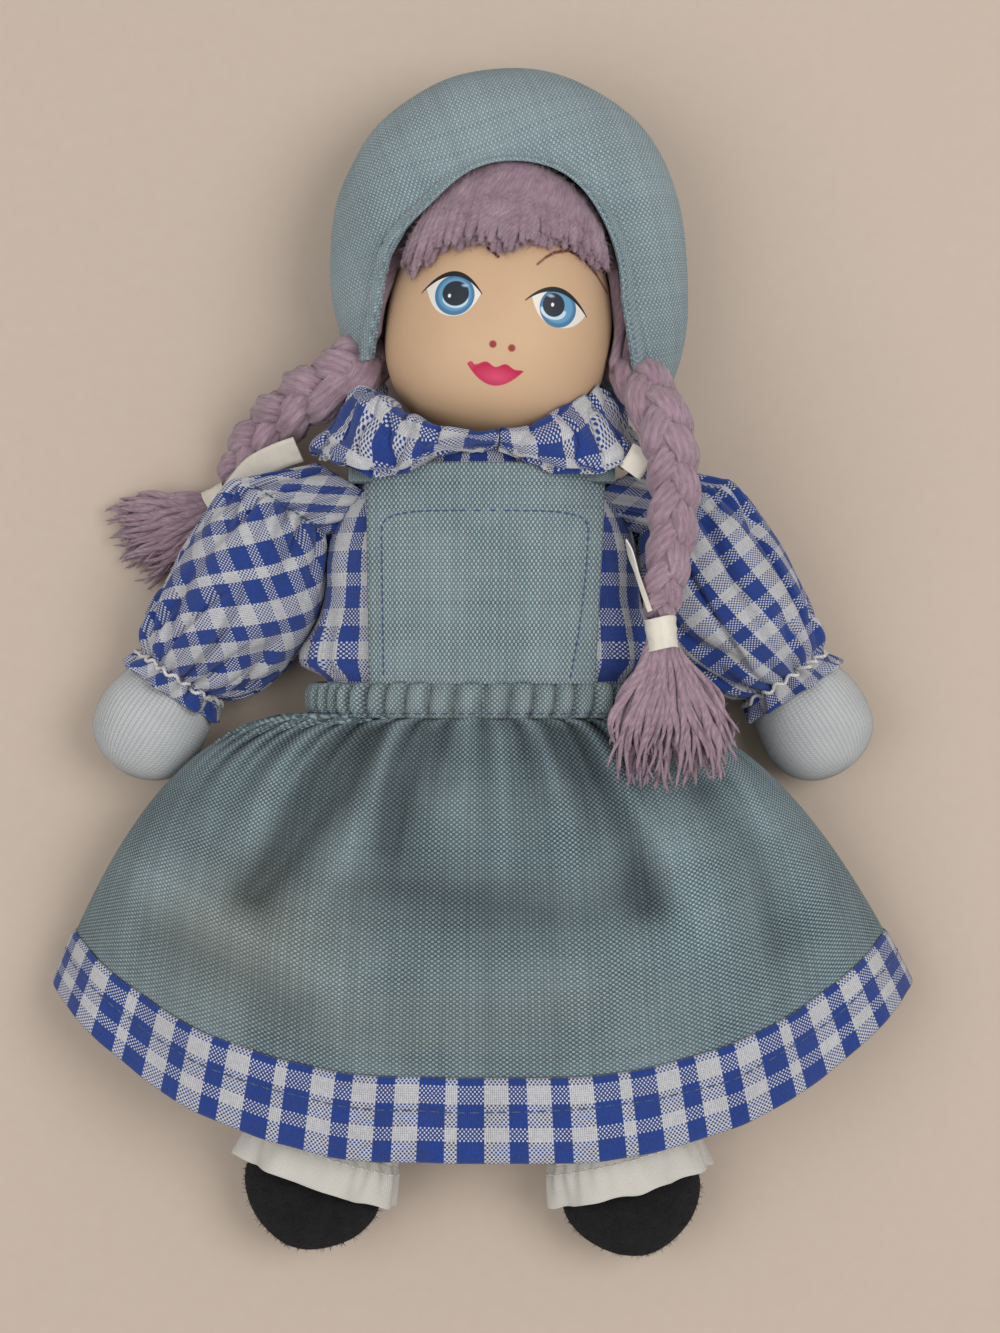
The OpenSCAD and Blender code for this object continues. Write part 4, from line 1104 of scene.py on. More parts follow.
for side, label in SIDES:
    stuffed = cloth(label + "_stuffed_leg", 48, 36, lambda u, v: leg_place(side, u, v),
                    plain_cut(38, 40), white_cotton, 0, on_leg(side, 14, 0, 9))
    pantaloon = cloth(label + "_pantaloon_leg", 120, 54,
                      lambda u, v: pant_place(side, u, v, PANT_TOP, FRILL_AT + 0.3, False),
                      plain_cut(62, 36), white_cotton, 0.5, on_leg(side, 15, 0, 9))
    frill = cloth(label + "_pantaloon_frill", 160, 16,
                  lambda u, v: pant_place(side, u, v, FRILL_AT, PANT_END, True),
                  plain_cut(70, 7), white_cotton, 0.5, on_leg(side, 35, 0, 9))
    seam = [Vector(pant_place(side, 0.02 + 0.46 * i / 500, 0.22, FRILL_AT, PANT_END, True))
            + Vector((0, 0, 0.08)) for i in range(501)]
    frill_seam = stitches(label + "_frill_stitching", seam, white_thread, 1.0, 0.3, 0.13)
    shoe = cloth(label + "_felt_shoe", 120, 60, lambda u, v: shoe_place(side, u, v),
                 plain_cut(58, 20), black_felt, 0, on_leg(side, 40, 0, 8))
    refit(shoe, lambda bm: fuzz(bm, 900, 0.9, 0.05, 11 + side))
    for piece, node in ((stuffed, "_leg"), (pantaloon, "_pantaloon"), (frill, "_frill")):
        dress(piece, label + "_leg", label + node)
    dress(shoe, label + "_leg", label + "_shoe")
    dress(frill_seam, label + "_leg")

# %% [markdown]
# Head: a hollow egg of ceramic, smooth enough that the whole face is paint. It is one profile
# spun round its own axis, which leans a little to the right, and it runs down into the neck.

# %% Painted ceramic
HEAD_TILT = radians(8)
HEAD_AWAY = 17.2  # from the neck's tie to the middle of the head
HEAD_X, HEAD_Y = HEAD_AWAY * sin(HEAD_TILT), CHEST_LEN + HEAD_AWAY * cos(HEAD_TILT)
HEAD_R, HEAD_UP, HEAD_LOW, JAW, PROFILE_STEPS = 15.8, 19.0, 16.5, 0.8, 72
# radius and height of the neck and of the flange that the cloth is tied over
NECK = [(5.5, -23.0), (7.2, -23.0), (7.2, -25.2), (3.2, -25.2)]


def on_head(x, y, z):
    """A place from the head's middle: x to its side, y to its crown, z out of its face."""
    c, s = cos(HEAD_TILT), sin(HEAD_TILT)
    return HEAD_X + x * c + y * s, HEAD_Y - x * s + y * c, HEAD_Z + z


def from_head(x, y):
    """The way back from on_head: how far a place lies to the head's side and to its crown."""
    c, s = cos(HEAD_TILT), sin(HEAD_TILT)
    dx, dy = x - HEAD_X, y - HEAD_Y
    return dx * c - dy * s, dx * s + dy * c


def head_profile(lat, off=0.0):
    """Half width and height of the head at a latitude: an egg with a square jaw."""
    e, tall = (1, HEAD_UP) if lat > 0 else (JAW, HEAD_LOW)
    return (HEAD_R + off) * cos(lat) ** e, (tall + off) * power(sin(lat), e)


def face_height(x, y, off=0.0):
    tall = (HEAD_UP if y > 0 else HEAD_LOW) + off
    n = 2 if y > 0 else 2 / JAW
    round_r = (HEAD_R + off) * max(0, 1 - abs(y / tall) ** n) ** (1 / n)
    return sqrt(max(0, round_r ** 2 - x ** 2))


def off_head(x, y, z, room):
    """Moves a place straight out from the head's axis until it is clear of the ceramic."""
    (side, up), dz = from_head(x, y), z - HEAD_Z
    away = hypot(side, dz)
    need = face_height(0, up) + room if -HEAD_LOW < up < HEAD_UP else 0
    grow = max(1, need / max(0.1, away))
    return on_head(side * grow, up, dz * grow)


# Places on the face are in mm from the head's middle, as it is seen from the front.
EYES = [
    dict(at=(-6.3, 1.55), lash=(-6.75, 4.5, 4.15, 2.7), slant=0.06, white=(-6.5, -1.3, 3.55),
         iris=(2.7, 2.75), pupil=(-6.2, 1.8, 1.8, 1.7), dot=(-7.0, 1.4), glint=(-5.05, 3.0)),
    dict(at=(7.78, 1.84), lash=(7.55, 4.3, 4.3, 2.5), slant=-0.06, white=(8.1, -0.75, 3.8),
         iris=(2.5, 2.65), pupil=(7.15, 2.15, 1.5, 1.62), dot=(7.0, 2.15), glint=(6.6, 3.3)),
]
BROWS = [  # places of the stroke, how soft its edge is, and its colour
    ([(-2.8, 8.6), (-2.0, 8.1), (-1.2, 7.5)], 0.2, (96, 52, 40)),
    ([(4.2, 7.3), (5.2, 8.5), (6.2, 9.4), (8.1, 10.2), (10.2, 9.7), (12.4, 7.9), (14.2, 6.0)], 0.25,
     (112, 66, 50)),
]
BROW_HALF = 0.24
NOSTRILS, NOSTRIL_R = ((-0.24, -4.42), (2.35, -4.57)), 0.5
LIPS_AT, LIPS_HALF, LIPS_DEEP = (0.5, -7.45), 3.9, 2.45
SKIN_DARK, SKIN_LIGHT = (194, 161, 129), (206, 174, 142)
EYE_WHITE, IRIS_RIM, IRIS_CORE = (226, 222, 214), (66, 118, 158), (98, 152, 188)
PUPIL, LASH = (34, 42, 52), (28, 27, 30)
CRESCENT, DOT, GLINT = (196, 214, 226), (236, 236, 238), (176, 196, 212)
NOSTRIL_RED, LIP_RED, LIP_HIGHLIGHT = (146, 52, 46), (186, 36, 76), (226, 96, 130)


def painted_ceramic():
    finish = Finish("painted_ceramic", 0.5, Specular_IOR_Level=0.35)
    x, y, z = finish.split(finish.on_object(1.0, doll(*on_head(0, 0, 0)), -degrees(HEAD_TILT)))
    front = z.above(0)
    mottle = finish.noise(finish.on_object(9.0), 4.0)
    grain = finish.noise(finish.on_object(0.8), 3.0)
    paint = finish.blend(mottle, rgb(*SKIN_DARK), rgb(*SKIN_LIGHT))

    def lay(mask, colour):
        nonlocal paint
        paint = finish.blend(mask * front, paint, rgb(*colour))

    def oval(cx, cy, rx, ry):
        a, b = (x - cx) / rx, (y - cy) / ry
        return ((a * a + b * b) ** 0.5 - 1) * min(rx, ry)

    def stroke(points, wide):
        """A brush stroke: a few short straight runs, thinner at both ends."""
        found = None
        for i, ((ax, ay), (bx, by)) in enumerate(zip(points, points[1:])):
            dx, dy = bx - ax, by - ay
            span = dx * dx + dy * dy
            t = ((x - ax) * (dx / span) + (y - ay) * (dy / span)).calc("ADD", 0, clamp=True)
            px, py = x - ax - t * dx, y - ay - t * dy
            body = sin(pi * (i + 0.6) / (len(points) - 0.8))
            run = (px * px + py * py) ** 0.5 - wide * (0.45 + 0.55 * body)
            found = run if found is None else found.least(run)
        return found

    for e in EYES:
        lx, ly, lw, lh = e["lash"]
        q = (x - lx) / lw
        lid = q * q * -lh + ly + q * (e["slant"] * lw)
        wx, wy, ww = e["white"]
        p = (x - wx) / ww
        under = p * p * p * p * 1.4 + p * p * 1.6 + wy
        open_eye = (y - lid).most(under - y)
        iris = oval(*e["at"], *e["iris"]).most(y - lid)
        core = oval(e["at"][0], e["at"][1] + 0.1, e["iris"][0] - 0.45, e["iris"][1] - 0.5)
        pupil = oval(*e["pupil"])
        shine = oval(e["pupil"][0] + 0.05, e["pupil"][1] - 0.75, 1.75, 1.25)
        crescent = shine.most(pupil * -1 + 0.02).most(y - (e["pupil"][1] - 0.55))
        lay(open_eye.ink(), EYE_WHITE)
        lay(iris.ink(), IRIS_RIM)
        lay(core.most(y - lid).ink(0.35), IRIS_CORE)
        lay(pupil.ink(), PUPIL)
        lay(crescent.ink(), CRESCENT)
        lay(oval(*e["dot"], 0.2, 0.26).ink(), DOT)
        lay(oval(*e["glint"], 0.34, 0.16).ink(0.3), GLINT)
        edge = (q.size() - 1) * lw
        thick = (q * q).inverse() * 0.26 + 0.1
        lash = ((y - lid).size() - thick).most(edge)
        lay(lash.ink(), LASH)
    for points, soft, colour in BROWS:
        lay(stroke(points, BROW_HALF).ink(soft), colour)
    for spot in NOSTRILS:
        lay(oval(*spot, NOSTRIL_R, NOSTRIL_R).ink(0.2), NOSTRIL_RED)
    u = (x - LIPS_AT[0]) / LIPS_HALF
    peak = (u * 4.25).sine()
    corner = (u + 0.86) * 9
    upturn = (corner * corner).inverse().most(0)
    bow = peak * peak * (u * u).inverse() * 0.62 + upturn * 0.3 + 0.1
    low = (u * u).inverse() * -LIPS_DEEP + 0.1
    h = y - LIPS_AT[1]
    lips = (h - bow).most(low - h).most((u.size() - 1) * LIPS_HALF)
    mouth = lips.ink(0.14) * front
    paint = finish.blend(mouth, paint, rgb(*LIP_RED))
    # A pink patch on the middle of the lower lip is a painted highlight.
    lip_highlight = oval(LIPS_AT[0] + 0.4, LIPS_AT[1] - 1.15, 1.9, 0.85).ink(1.4) * mouth
    paint = finish.blend(lip_highlight * 0.55, paint, rgb(*LIP_HIGHLIGHT))
    feed(finish.tree, finish.shader.inputs["Roughness"], mouth * -0.3 + grain * 0.12 + 0.46)
    return finish.done(paint, grain + mouth * 0.4, 0.05, 0.35)


bm = bmesh.new()
profile = [bm.verts.new((0, HEAD_UP, 0))]
chin_end = -acos((NECK[0][0] / HEAD_R) ** (1 / JAW))
for i in range(1, PROFILE_STEPS + 1):
    a = mix(pi / 2, chin_end, i / PROFILE_STEPS)
    profile.append(bm.verts.new((*head_profile(a), 0)))
profile += [bm.verts.new((r, y, 0)) for r, y in NECK] + [bm.verts.new((0, NECK[-1][1], 0))]
edges = [bm.edges.new(pair) for pair in zip(profile, profile[1:])]
bmesh.ops.spin(bm, geom=profile + edges, cent=(0, 0, 0), axis=(0, 1, 0), angle=2 * pi,
               steps=144, use_merge=True)
place_head = (Matrix.Translation(doll(*on_head(0, 0, 0)))
              @ Matrix.Rotation(-HEAD_TILT, 4, "Z") @ Matrix.Scale(MM, 4))
bmesh.ops.transform(bm, matrix=place_head, verts=bm.verts)
head = finish_mesh("ceramic_head", bm, painted_ceramic(), (HEAD_X, HEAD_Y, HEAD_Z))
dress(head, "head", "head")
print("head", len(head.data.polygons), "faces")

# %% [markdown]
# Collar: two gathered gingham lobes that meet under the chin. Each is cloth doubled over and
# rolled, so its section is a flat loop with a groove along the open edge, and it ripples more
# towards that edge.

# %% Collar
COLLAR_REACH, COLLAR_W, COLLAR_T, COLLAR_FRONT = 19.5, 10.4, 3.7, 12.6
COLLAR_Y = CHEST_LEN - 4


def collar_place(side, u, v):
    p = mix(0.25 + 6.75 * side, 116, v)
    r = radians(p)
    a = 2 * pi * u
    swell = mix(0.16, 1, ease(0, 55, p)) * keep(mix(1.0, 0.0, (v - 0.94) / 0.06), 0.1)
    swell *= 1 + 0.25 * rumple(p, side * 40, 0, 15)
    rise = 6 * sin(radians(min(abs(p), 90))) ** 1.3 + 3.7 * bell(p, 24)
    middle = Vector((COLLAR_REACH * sin(r), COLLAR_Y + rise + 0.08 * max(0, p - 90),
                     HEAD_Z + COLLAR_FRONT * power(cos(r), 0.8)))
    out = Vector((sin(r), 0, cos(r)))
    lie = radians(mix(72, 55, sin(radians(min(90, p))) ** 2))
    flap = out * cos(lie) - Vector((0, 1, 0)) * sin(lie)
    up = out * sin(lie) + Vector((0, 1, 0)) * cos(lie)
    edge = max(0, cos(a))
    groove = 1 - 0.28 * bell(sin(a), 0.16) * edge
    ripple = min(1, swell) * 1.7 * edge * sin(p / 8.5 + side + sin(p / 23))
    ripple += 0.5 * sin(p / 5.2 + 2 * side)
    hump = 1.1 * rumple(p, a * 20, side * 50, 13) - 0.8 * bell(rumple(p, a * 9, side * 33, 12), 0.1)
    half = COLLAR_W / 2 * swell * groove
    reach = power(cos(a), 0.8) * (1 if cos(a) > 0 else 1.35)
    spot = middle + flap * (half * reach)
    spot += up * (COLLAR_T / 2 * power(sin(a), 0.75) * (0.75 + 0.45 * sin(a / 2) ** 2)
                  + ripple * 0.7 + hump)
    return off_head(side * spot.x, spot.y, spot.z, 0.5)


for side, label in SIDES:
    lobe = cloth(label + "_collar_lobe", 72, 150, lambda u, v: collar_place(side, u, v),
                 lambda u, v: (v * 40 + 20 * side, u * 21), collar_gingham, 0, (side * 17, 36, 22))
    dress(lobe, "torso", label + "_collar")

# %% [markdown]
# Wig: strands of mauve yarn glued over the crown, and a fringe of shorter strands that hang over
# the forehead in uneven locks. Every strand is a tube whose plies wind round it.

# %% Wig and fringe
WIG_R, LOCKS, FRINGE_HALF = 1.05, 40, 14


def strand_radius(r, tip):
    """The radius of a strand at a share t of its length: closed at its ends, thinner at its tip."""
    def at(t):
        return r * min(1, t / 0.04 + 0.02) * mix(1, tip, ease(0.72, 1, t)) if t < 1 else 0

    return at


dice = random.Random(7)
bm = bmesh.new()
# where each strand lies round the head, how far off it and how low it ends, in degrees and mm
TURNS = [(mix(78, 282, i / 51), 1.25, -12) for i in range(52)]
TURNS += [(sign * mix(84, 102, i / 6), 2.5, -16) for sign in (-1, 1) for i in range(7)]
for i, (turn, off, low) in enumerate(TURNS):
    line = []
    for k in range(25):
        lat = radians(mix(88, low, k / 24))
        r, y = head_profile(lat, off)
        sway = radians(turn) + 0.03 * sin(k * 0.7 + i)
        line.append(Vector(on_head(r * sin(sway), y, r * cos(sway))))
    tube(bm, line, strand_radius(WIG_R, 0.6), 9, 2, 0.12, 4)
wig = finish_mesh("yarn_wig", bm, mauve_yarn)
dress(wig, "head", "wig")

# where the locks end, as x and y from the middle of the head
LOCK_ENDS = [(-14.5, 6), (-12.4, 3.8), (-10.8, 5.6), (-9, 8), (-5.7, 8.2), (-2.5, 8.8), (0, 7.8),
             (2.2, 9.6), (4.6, 10.6), (7, 10), (9.1, 10.8), (11, 9.6), (12.5, 8.2), (14.5, 8.6)]


def lock_end(x):
    for (ax, ay), (bx, by) in zip(LOCK_ENDS, LOCK_ENDS[1:]):
        if x <= bx:
            return mix(ay, by, keep((x - ax) / (bx - ax)))
    return LOCK_ENDS[-1][1]


bm = bmesh.new()
for layer, off in ((0, 0.8), (1, 1.7)):
    for i in range(LOCKS):
        x = FRINGE_HALF * (-1 + 2 * (i + 0.5 * layer) / (LOCKS - 0.5))
        low = lock_end(x) + dice.uniform(-0.9, 0.6) + 0.7 * layer
        drift = dice.uniform(-0.5, 0.5)
        fall, sink = [deep * (x / FRINGE_HALF) ** 2 for deep in (4.5, 2.8)]
        knots = [(0.6 * x, 18.5 - fall, 2.5), (0.72 * x, 21 - fall, 8.4 - sink),
                 (0.8 * x, 19.4 - fall, 10.4 - sink)]
        for k in range(5):
            q = k / 4
            y = mix(16.2 - 0.8 * fall, low, q)
            px = x * mix(0.86, 1, q) + drift * q
            knots.append((px, y, max(6, face_height(px, y, off + 0.7 * (1 - q) ** 2))))
        line = smooth_route([on_head(*p) for p in knots], 26)
        tube(bm, line, strand_radius(dice.uniform(0.7, 0.98), 0.45), 8, 2, 0.12, 4)
fringe = finish_mesh("yarn_fringe", bm, mauve_yarn)
refit(fringe, lambda bm: fuzz(bm, 9000, 1.6, 0.05, 5))
dress(fringe, "head", "fringe")

# %% [markdown]
# Bonnet: one curved sheet of linen. It starts at a folded edge round the face, swells out to the
# outline, turns round it and closes behind the head. Each line across it runs straight away from
# the middle of the face, and the weave is laid out flat from that middle. Over the forehead the
# brim lies on the hair.

# %% Bonnet
OPEN_X, OPEN_UP = HEAD_X + 0.6, 4.5  # the middle of the face's opening
FACE_R, BONNET_W, BONNET_UP = 16.2, 51.0, 37.0
BONNET_MID = HEAD_X + 1.4
BONNET_Z, BONNET_FRONT, BONNET_BACK, BONNET_TURN = 12.0, 20.0, 12.3, 6
LEG_SHARE, LEG_LOW = 0.17, 11.5  # the straight sides below the opening's arch
FOLDED = 0.06  # share of the cloth in the folded edge


def bonnet_half(h):
    if h > BONNET_TURN:
        up = keep((h - BONNET_TURN) / (BONNET_UP - BONNET_TURN))
        return BONNET_W / 2 * sqrt(max(0, 1 - up ** 2.6))
    return BONNET_W / 2 - 3.5 * ((BONNET_TURN - h) / 14) ** 2


def bonnet_skin(x, h, front):
    """Height of the bonnet's front or back over a place x, h."""
    half = max(0.3, bonnet_half(h))
    k = half / (BONNET_W / 2)
    bulge = sqrt(max(0, 1 - ((x - BONNET_MID) / half) ** 2))
    return BONNET_Z + (BONNET_FRONT * k ** 0.8 if front else -BONNET_BACK * k ** 0.6) * bulge


@functools.cache
def bonnet_ray(s):
    """Start, direction and reach of one line across the bonnet, for s from 0 to 1 round it."""
    if LEG_SHARE < s < 1 - LEG_SHARE:
        way = pi * (1 - (s - LEG_SHARE) / (1 - 2 * LEG_SHARE))
        c, up = cos(way), sin(way)
        uneven = -2.2 * bell(way - 2.35, 0.5) + 0.6 * bell(way - 1.05, 0.35)
        start, base = FACE_R * (1 + 0.02 * up) + uneven, 0.0
    else:
        q = s / LEG_SHARE if s < 0.5 else (1 - s) / LEG_SHARE
        c, up = (-1.0 if s < 0.5 else 1.0), 0.0
        start, base = mix(18.4, FACE_R, q), -mix(LEG_LOW, 0, q)
    low, high = start * 0.6, 60.0
    for _ in range(34):
        r = (low + high) / 2
        h = base + OPEN_UP + r * up
        inside = h < BONNET_UP and abs(OPEN_X + r * c - BONNET_MID) < bonnet_half(h)
        low, high = (r, high) if inside else (low, r)
    return min(start, low * 0.97), low, c, up, base


def hair_top(x, h):
    """Height of the hair's front over the middle of the head, which the brim lies on."""
    return face_height(*from_head(x, HEAD_Y + h), 3.2)


def bonnet_place(s, t):
    start, reach, c, up, base = bonnet_ray(s)
    fold = keep(1 - t / FOLDED)
    if t < 0.5:
        q = sin(pi / 2 * keep((t - FOLDED) / (0.5 - FOLDED)))
        r, front = mix(start, reach, q), True
    else:
        r, front = reach * cos(pi / 2 * (t - 0.5) / 0.5), False
    x, h = OPEN_X + r * c, base + OPEN_UP + r * up
    z = bonnet_skin(x, h, front)
    if front:
        gone = r - start
        rows = 0.13 * cos(2 * pi * gone / 1.35) * bell(gone - 1.6, 2.2)
        soft = 0.55 * rumple(x, h, 2, 8) * ease(0, 4, gone)
        tuck = 0.5 * cos(14 * atan2(h - OPEN_UP, x - OPEN_X)) * bell(t - 0.47, 0.09)
        brim = 0.5 * bell(gone, 1.2) + 0.4 * (1 - ease(1.6, 2.0, gone))
        z += brim + rows + (soft + tuck) * keep((0.5 - t) / 0.04)
        on_hair = ease(3, 8, h) * (1 - ease(1, 9, gone))
        z = mix(z, max(z, HEAD_Z + hair_top(x, h)), on_hair) - 1.9 * fold ** 0.7
        x += 1.3 * c * fold
        h += 1.3 * up * fold
    else:
        z += 0.5 * rumple(x, h, 6, 8) * sin(pi * t) ** 2
    slope = -0.1 * (x - BONNET_MID) * keep(1.2 - h / 20)
    return x, HEAD_Y + h + slope, max(0.12, z)


def bonnet_cut(s, t):
    start, reach, c, up, base = bonnet_ray(s)
    along = hypot(reach - start, 12) * 1.05
    spread = start + along * t / 0.5 if t < 0.5 else (start + along) * (1 - t) / 0.5
    return spread * c, base + spread * up


bonnet = cloth("linen_bonnet", 220, 140, bonnet_place, bonnet_cut, bonnet_linen, 0.7,
               (HEAD_X, HEAD_Y + 6, 14))
dress(bonnet, "head", "bonnet")

# %% [markdown]
# Braids: three strands that take turns to cross. Seen along the braid a strand swings from side
# to side once while it goes up and down twice, so a sine and a double sine draw the plait. The
# braid follows the head at its root and the body at its tie.

# %% Braids
ROUTES = {
    "left": [(-15.4, 52, 14.5), (-16.6, 48.4, 16.5), (-19.6, 45.2, 18), (-25.6, 42.4, 14),
             (-31, 38.6, 8.5), (-34.8, 33.8, 5.4), (-36.4, 29.6, 3.8)],
    "right": [(18.6, 52.4, 14), (20, 48.4, 17.5), (22.2, 44, 24.5), (25, 37.2, 32),
              (26.2, 30.4, 31.5), (26, 22.6, 30), (25, 15.4, 29), (24.4, 11.6, 28.5)],
}
TIES = {label: Vector(route[-1]) for label, route in ROUTES.items()}
ENDS = {"left": Vector((-52.5, 21.5, 2.2)), "right": Vector((26.5, -10, 30.5))}
PLAIT_PITCH, TIE_R, BRAID_STEPS = 15.0, 1.7, 120


def braid(name, route, fat, seed):
    line = smooth_route(route, BRAID_STEPS)
    length = length_of(line)
    frames = frames_along(line)
    bm = bmesh.new()

    def size(t):
        thick = mix(TIE_R * 0.95, fat, max(0, sin(radians(mix(38, 180, t)))) ** 0.5)
        return thick * mix(0.45, 1, ease(0, 0.2, t))

    for k in range(3):
        path = []
        for i, (p, (across, up)) in enumerate(zip(line, frames)):
            t = i / BRAID_STEPS
            swing = 2 * pi * (t * length / PLAIT_PITCH + k / 3)
            r = size(t)
            path.append(p + across * (0.52 * r * sin(swing))
                        + up * (0.27 * r * sin(2 * swing)))
        tube(bm, path, lambda t: 0.57 * size(t) * (1 if 0 < t < 1 else 0.02), 28, 7, 0.14, 7 + k,
             0.92)
    fuzz(bm, 9000, 1.6, 0.05, seed)
    piece = finish_mesh(name, bm, mauve_yarn)
    print(name, round(length, 1), "mm long")
    return piece


for label, fat, seed in (("left", 4.2, 21), ("right", 3.5, 22)):
    plait, route = braid(label + "_yarn_braid", ROUTES[label], fat, seed), ROUTES[label]
    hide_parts(label + "_braid")
    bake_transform(plait)

# %% [markdown]
# Tassels: below the tie the yarn is cut and springs open. Each end is a strand of its own with a
# little curl, thinning to a frayed tip.

# %% Tassels


def axes_at(tie, end):
    """The way from a tie to the tassel's end, and two directions across it."""
    way = (end - tie).normalized()
    side = way.cross(UP).normalized()
    return way, side, side.cross(way)


def tassel(name, tie, end, long, wide, high, count, seed):
    dice = random.Random(seed)
    way, side, up = axes_at(tie, end)
    bm = bmesh.new()
    for i in range(count):
        fan = -1 + 2 * (i + 0.5) / count + dice.uniform(-0.1, 0.1)
        rise = dice.uniform(-1, 1)
        reach = long * dice.uniform(0.74, 1.06) * (1 - 0.1 * fan * fan)
        curl, phase, quick = dice.uniform(0.4, 1.1), dice.uniform(0, 6), dice.uniform(6, 13)
        path = []
        for k in range(23):
            t = k / 22
            open_out = ease(0.1, 1, t) * 0.75 + 0.25 * t
            across = mix(1.15 * fan, wide * fan, open_out) + curl * sin(quick * t + phase) * t
            lift = mix(1.15 * rise * sqrt(max(0, 1 - fan * fan)), high * rise, t)
            spot = tie + way * (reach * t + 0.2) + side * across
            spot += up * (lift + 0.6 * curl * cos(quick * t + phase) * t)
            spot.z = max(spot.z, 0.9)
            path.append(spot)
        tube(bm, path, strand_radius(dice.uniform(0.32, 0.55), 0.4), 6, 2, 0.12, 4)
    fuzz(bm, 4500, 1.4, 0.045, seed + 1)
    return finish_mesh(name, bm, mauve_yarn)


for label, *sizes in (("left", 18.5, 6.2, 1.5, 120, 31), ("right", 23, 8.6, 1.6, 140, 33)):
    tuft = tassel(label + "_yarn_tassel", TIES[label], ENDS[label], *sizes)
    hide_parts(label + "_tassel")
    if label == "right":
        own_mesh(tuft)
    dress(tuft, "torso")

# %% [markdown]
# Ribbons: narrow ivory satin wound twice round each tie. The left one has two loose tails, one
# flat and one twisted into a cord; the right one has a thin tail that runs up the braid and a
# short end that lies beside it.

# %% Ribbons
STRIP_STEPS = 60

def strip(bm, points, wide, twist, start_turn):
    """Adds a narrow strip along places in mm; wide(t) is its width, twist its turns."""
    line = smooth_route(points, STRIP_STEPS)
    frames = frames_along(line)
    length = length_of(line)

    def place(u, v):
        i = round(v * STRIP_STEPS)
        side, up = frames[i]
        turn = start_turn + 2 * pi * twist * v
        lie = side * cos(turn) + up * sin(turn)
        return line[i] + lie * ((u - 0.5) * wide(v))

    lay_grid(bm, 6, STRIP_STEPS, place, plain_cut(3.4, length))


def wound(bm, tie, end, radius, wide):
    """Adds the turns of ribbon round a tie: a sleeve with one edge of each turn showing."""
    way, side, up = axes_at(tie, end)

    def place(u, v):
        a = 2 * pi * u
        step = 0.12 * bell((v - 0.36 - 0.1 * sin(a)) * 10, 1.4)
        r = radius * (1 + 0.1 * (2 * v - 1) ** 2) + step + 0.08 * rumple(cos(a) * 3, v * 6, 1, 1)
        spot = tie + way * (0.3 + wide * v + 0.15 * sin(2 * a)) + side * (r * cos(a))
        spot += up * (r * sin(a))
        spot.z = max(spot.z, 0.35)
        return spot

    lay_grid(bm, 48, 20, place, lambda u, v: (v * 4.5, u * 13))


# radius and width of the turns, then each tail: places in mm from the tie, width, turns, first turn
RIBBONS = {
    "left": (2.15, 3.4, [
        ([(-1.4, -0.6, 2.3), (1.2, 1.6, 4.4), (4.2, 3.6, 7.6), (7.6, 5.0, 10.4), (10.4, 5.8, 12.2)],
         lambda t: mix(2.0, 3.8, ease(0, 0.5, t)), 0, 0),
        ([(-1.2, -0.8, 2.6), (-1.8, -3.0, 4.6), (-3.0, -5.4, 6.2), (-4.6, -7.4, 6.6),
          (-6.2, -8.8, 6.0)], lambda t: mix(1.5, 2.2, t), 1.6, 0.6)]),
    "right": (1.95, 4.4, [
        ([(-1.4, 0.6, 1.9), (-2.6, 4.0, 2.0), (-3.8, 7.8, 1.2), (-4.6, 10.2, 0.6)],
         lambda t: mix(0.7, 2.4, ease(0.45, 0.9, t)), 0.2, 0.3),
        ([(-4.2, 19.6, 1.1), (-3.2, 21.0, 1.5), (-2.2, 22.8, 1.5)], lambda t: 3.4, 0, 0)]),
}
for label, (radius, wide, tails) in RIBBONS.items():
    bm = bmesh.new()
    wound(bm, TIES[label], ENDS[label], radius, wide)
    for points, tail_wide, twist, first_turn in tails:
        strip(bm, [TIES[label] + Vector(p) for p in points], tail_wide, twist, first_turn)
    ribbon = finish_mesh(label + "_satin_ribbon", bm, ivory_satin)
    wall = ribbon.modifiers.new("ribbon thickness", "SOLIDIFY")
    wall.thickness = 0.22 * MM
    wall.offset = 0
    dress(ribbon, "torso", label + "_ribbon")

# %% [markdown]
# What is left of the solids is inside the doll: its bags, stuffing and sewing threads. They keep
# their shapes and get the cloth or thread that they are made of.

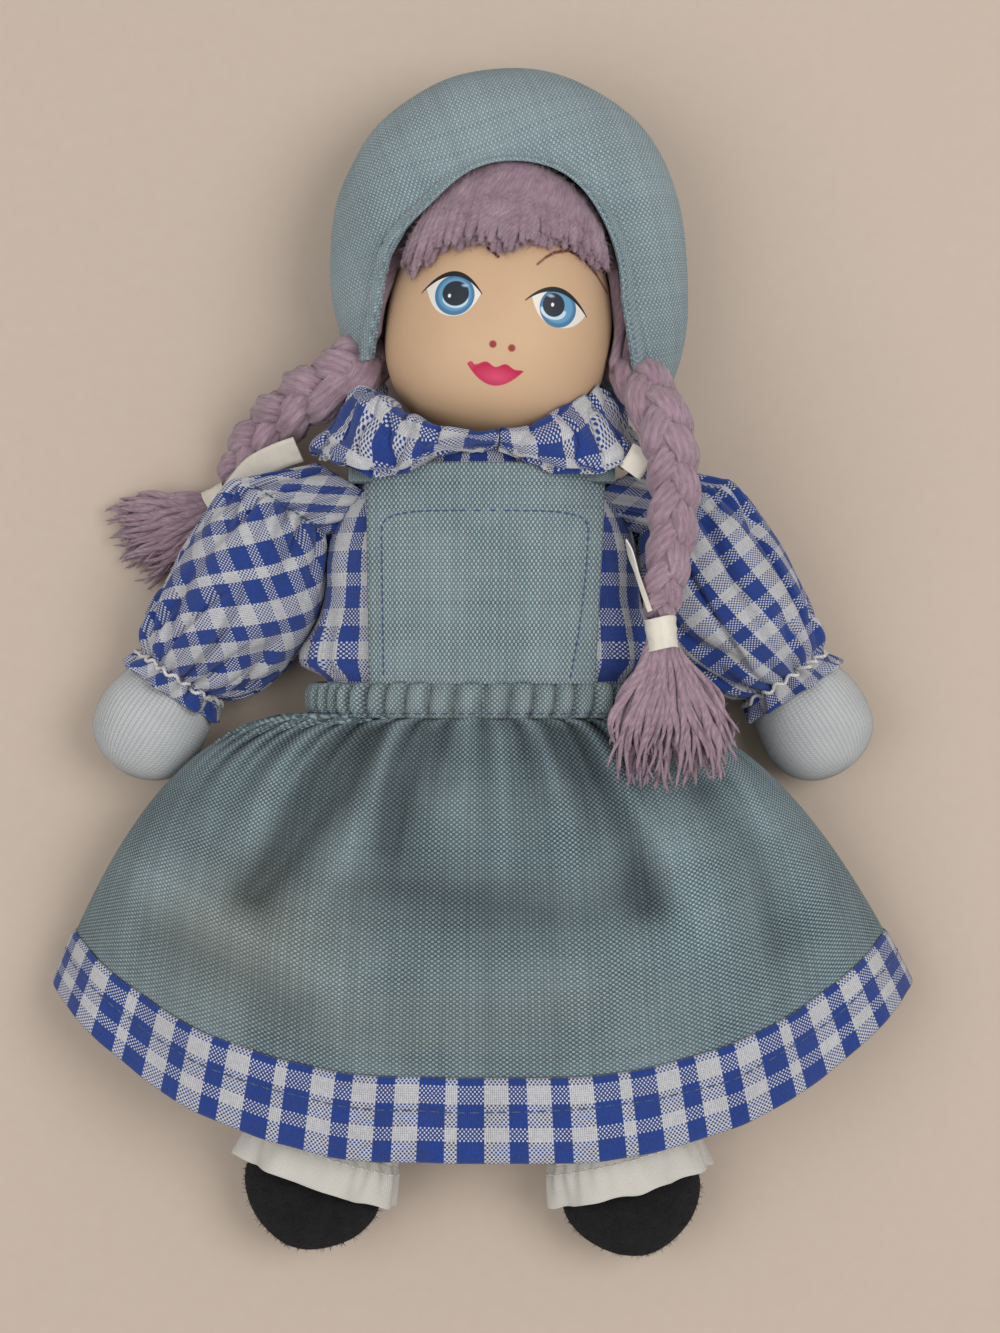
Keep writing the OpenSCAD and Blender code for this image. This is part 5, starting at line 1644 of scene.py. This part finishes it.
# %% Inner pieces
INNER = {"chest_bag": white_cotton, "seat_bag": white_cotton, "neck_cloth": white_cotton,
         "chest_stuffing": stuffing, "seat_stuffing": stuffing, "neck_thread": white_thread,
         "waist_elastic": white_thread,
         "left_hip_stitch": white_thread, "right_hip_stitch": white_thread}


def seat_place(u, v):
    a = 2 * pi * u
    t = 0.985 * v
    wide, deep = seat_ring(t)
    puff = 0.35 * rumple(cos(a) * 14, t * 22, sin(a) * 9, 6) * wide / 23
    return ((wide + puff) * power(cos(a), SQUARE), SEAT_TOP - SEAT_LEN * t - ease(0.85, 1, t),
            max(0.2, SEAT_Z + (deep + puff) * power(sin(a), SQUARE)))


seat = cloth("pantaloon_seat_cotton", 96, 40, seat_place, plain_cut(112, 26),
             white_cotton, 0.5, (0, -12, 12))
dress(seat, "lap", "pantaloon_seat")
for node, material in INNER.items():
    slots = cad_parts[node].data.materials
    slots.clear()
    slots.append(material)
print(len(INNER), "inner solids dressed")

# %% [markdown]
# Table and light: a plain pale table, a broad soft lamp from the right as in the photograph, a
# wider and weaker one from the left, and an even sky so that colours render about as written.

# %% Stage
bm = bmesh.new()
bmesh.ops.create_grid(bm, x_segments=1, y_segments=1, size=1.2)
table_finish = Finish("pale_table", 0.6, Specular_IOR_Level=0.3)
speck = table_finish.noise(table_finish.on_object(2.0), 4.0)
pale = table_finish.blend(speck, rgb(190, 174, 159), rgb(195, 180, 166))
table = finish_mesh("table", bm, table_finish.done(pale))


def lamp(name, place, size, watts):
    light = bpy.data.lights.new(name, "AREA")
    light.shape = "DISK"
    light.size = size
    light.energy = watts
    light.color = (1, 0.985, 0.965)
    holder = bpy.data.objects.new(name, light)
    holder.location = place
    holder.rotation_euler = (-Vector(place)).to_track_quat("-Z", "Y").to_euler()
    bpy.context.collection.objects.link(holder)


lamp("window", (0.34, 0.06, 0.6), 0.4, 2.1)
lamp("room", (-0.42, -0.04, 0.62), 0.6, 1.8)
world = bpy.data.worlds.new("room_light")
world.use_nodes = True
sky = world.node_tree.nodes["Background"].inputs
sky["Color"].default_value = (1, 0.985, 0.97, 1)
sky["Strength"].default_value = 0.5
bpy.context.scene.world = world
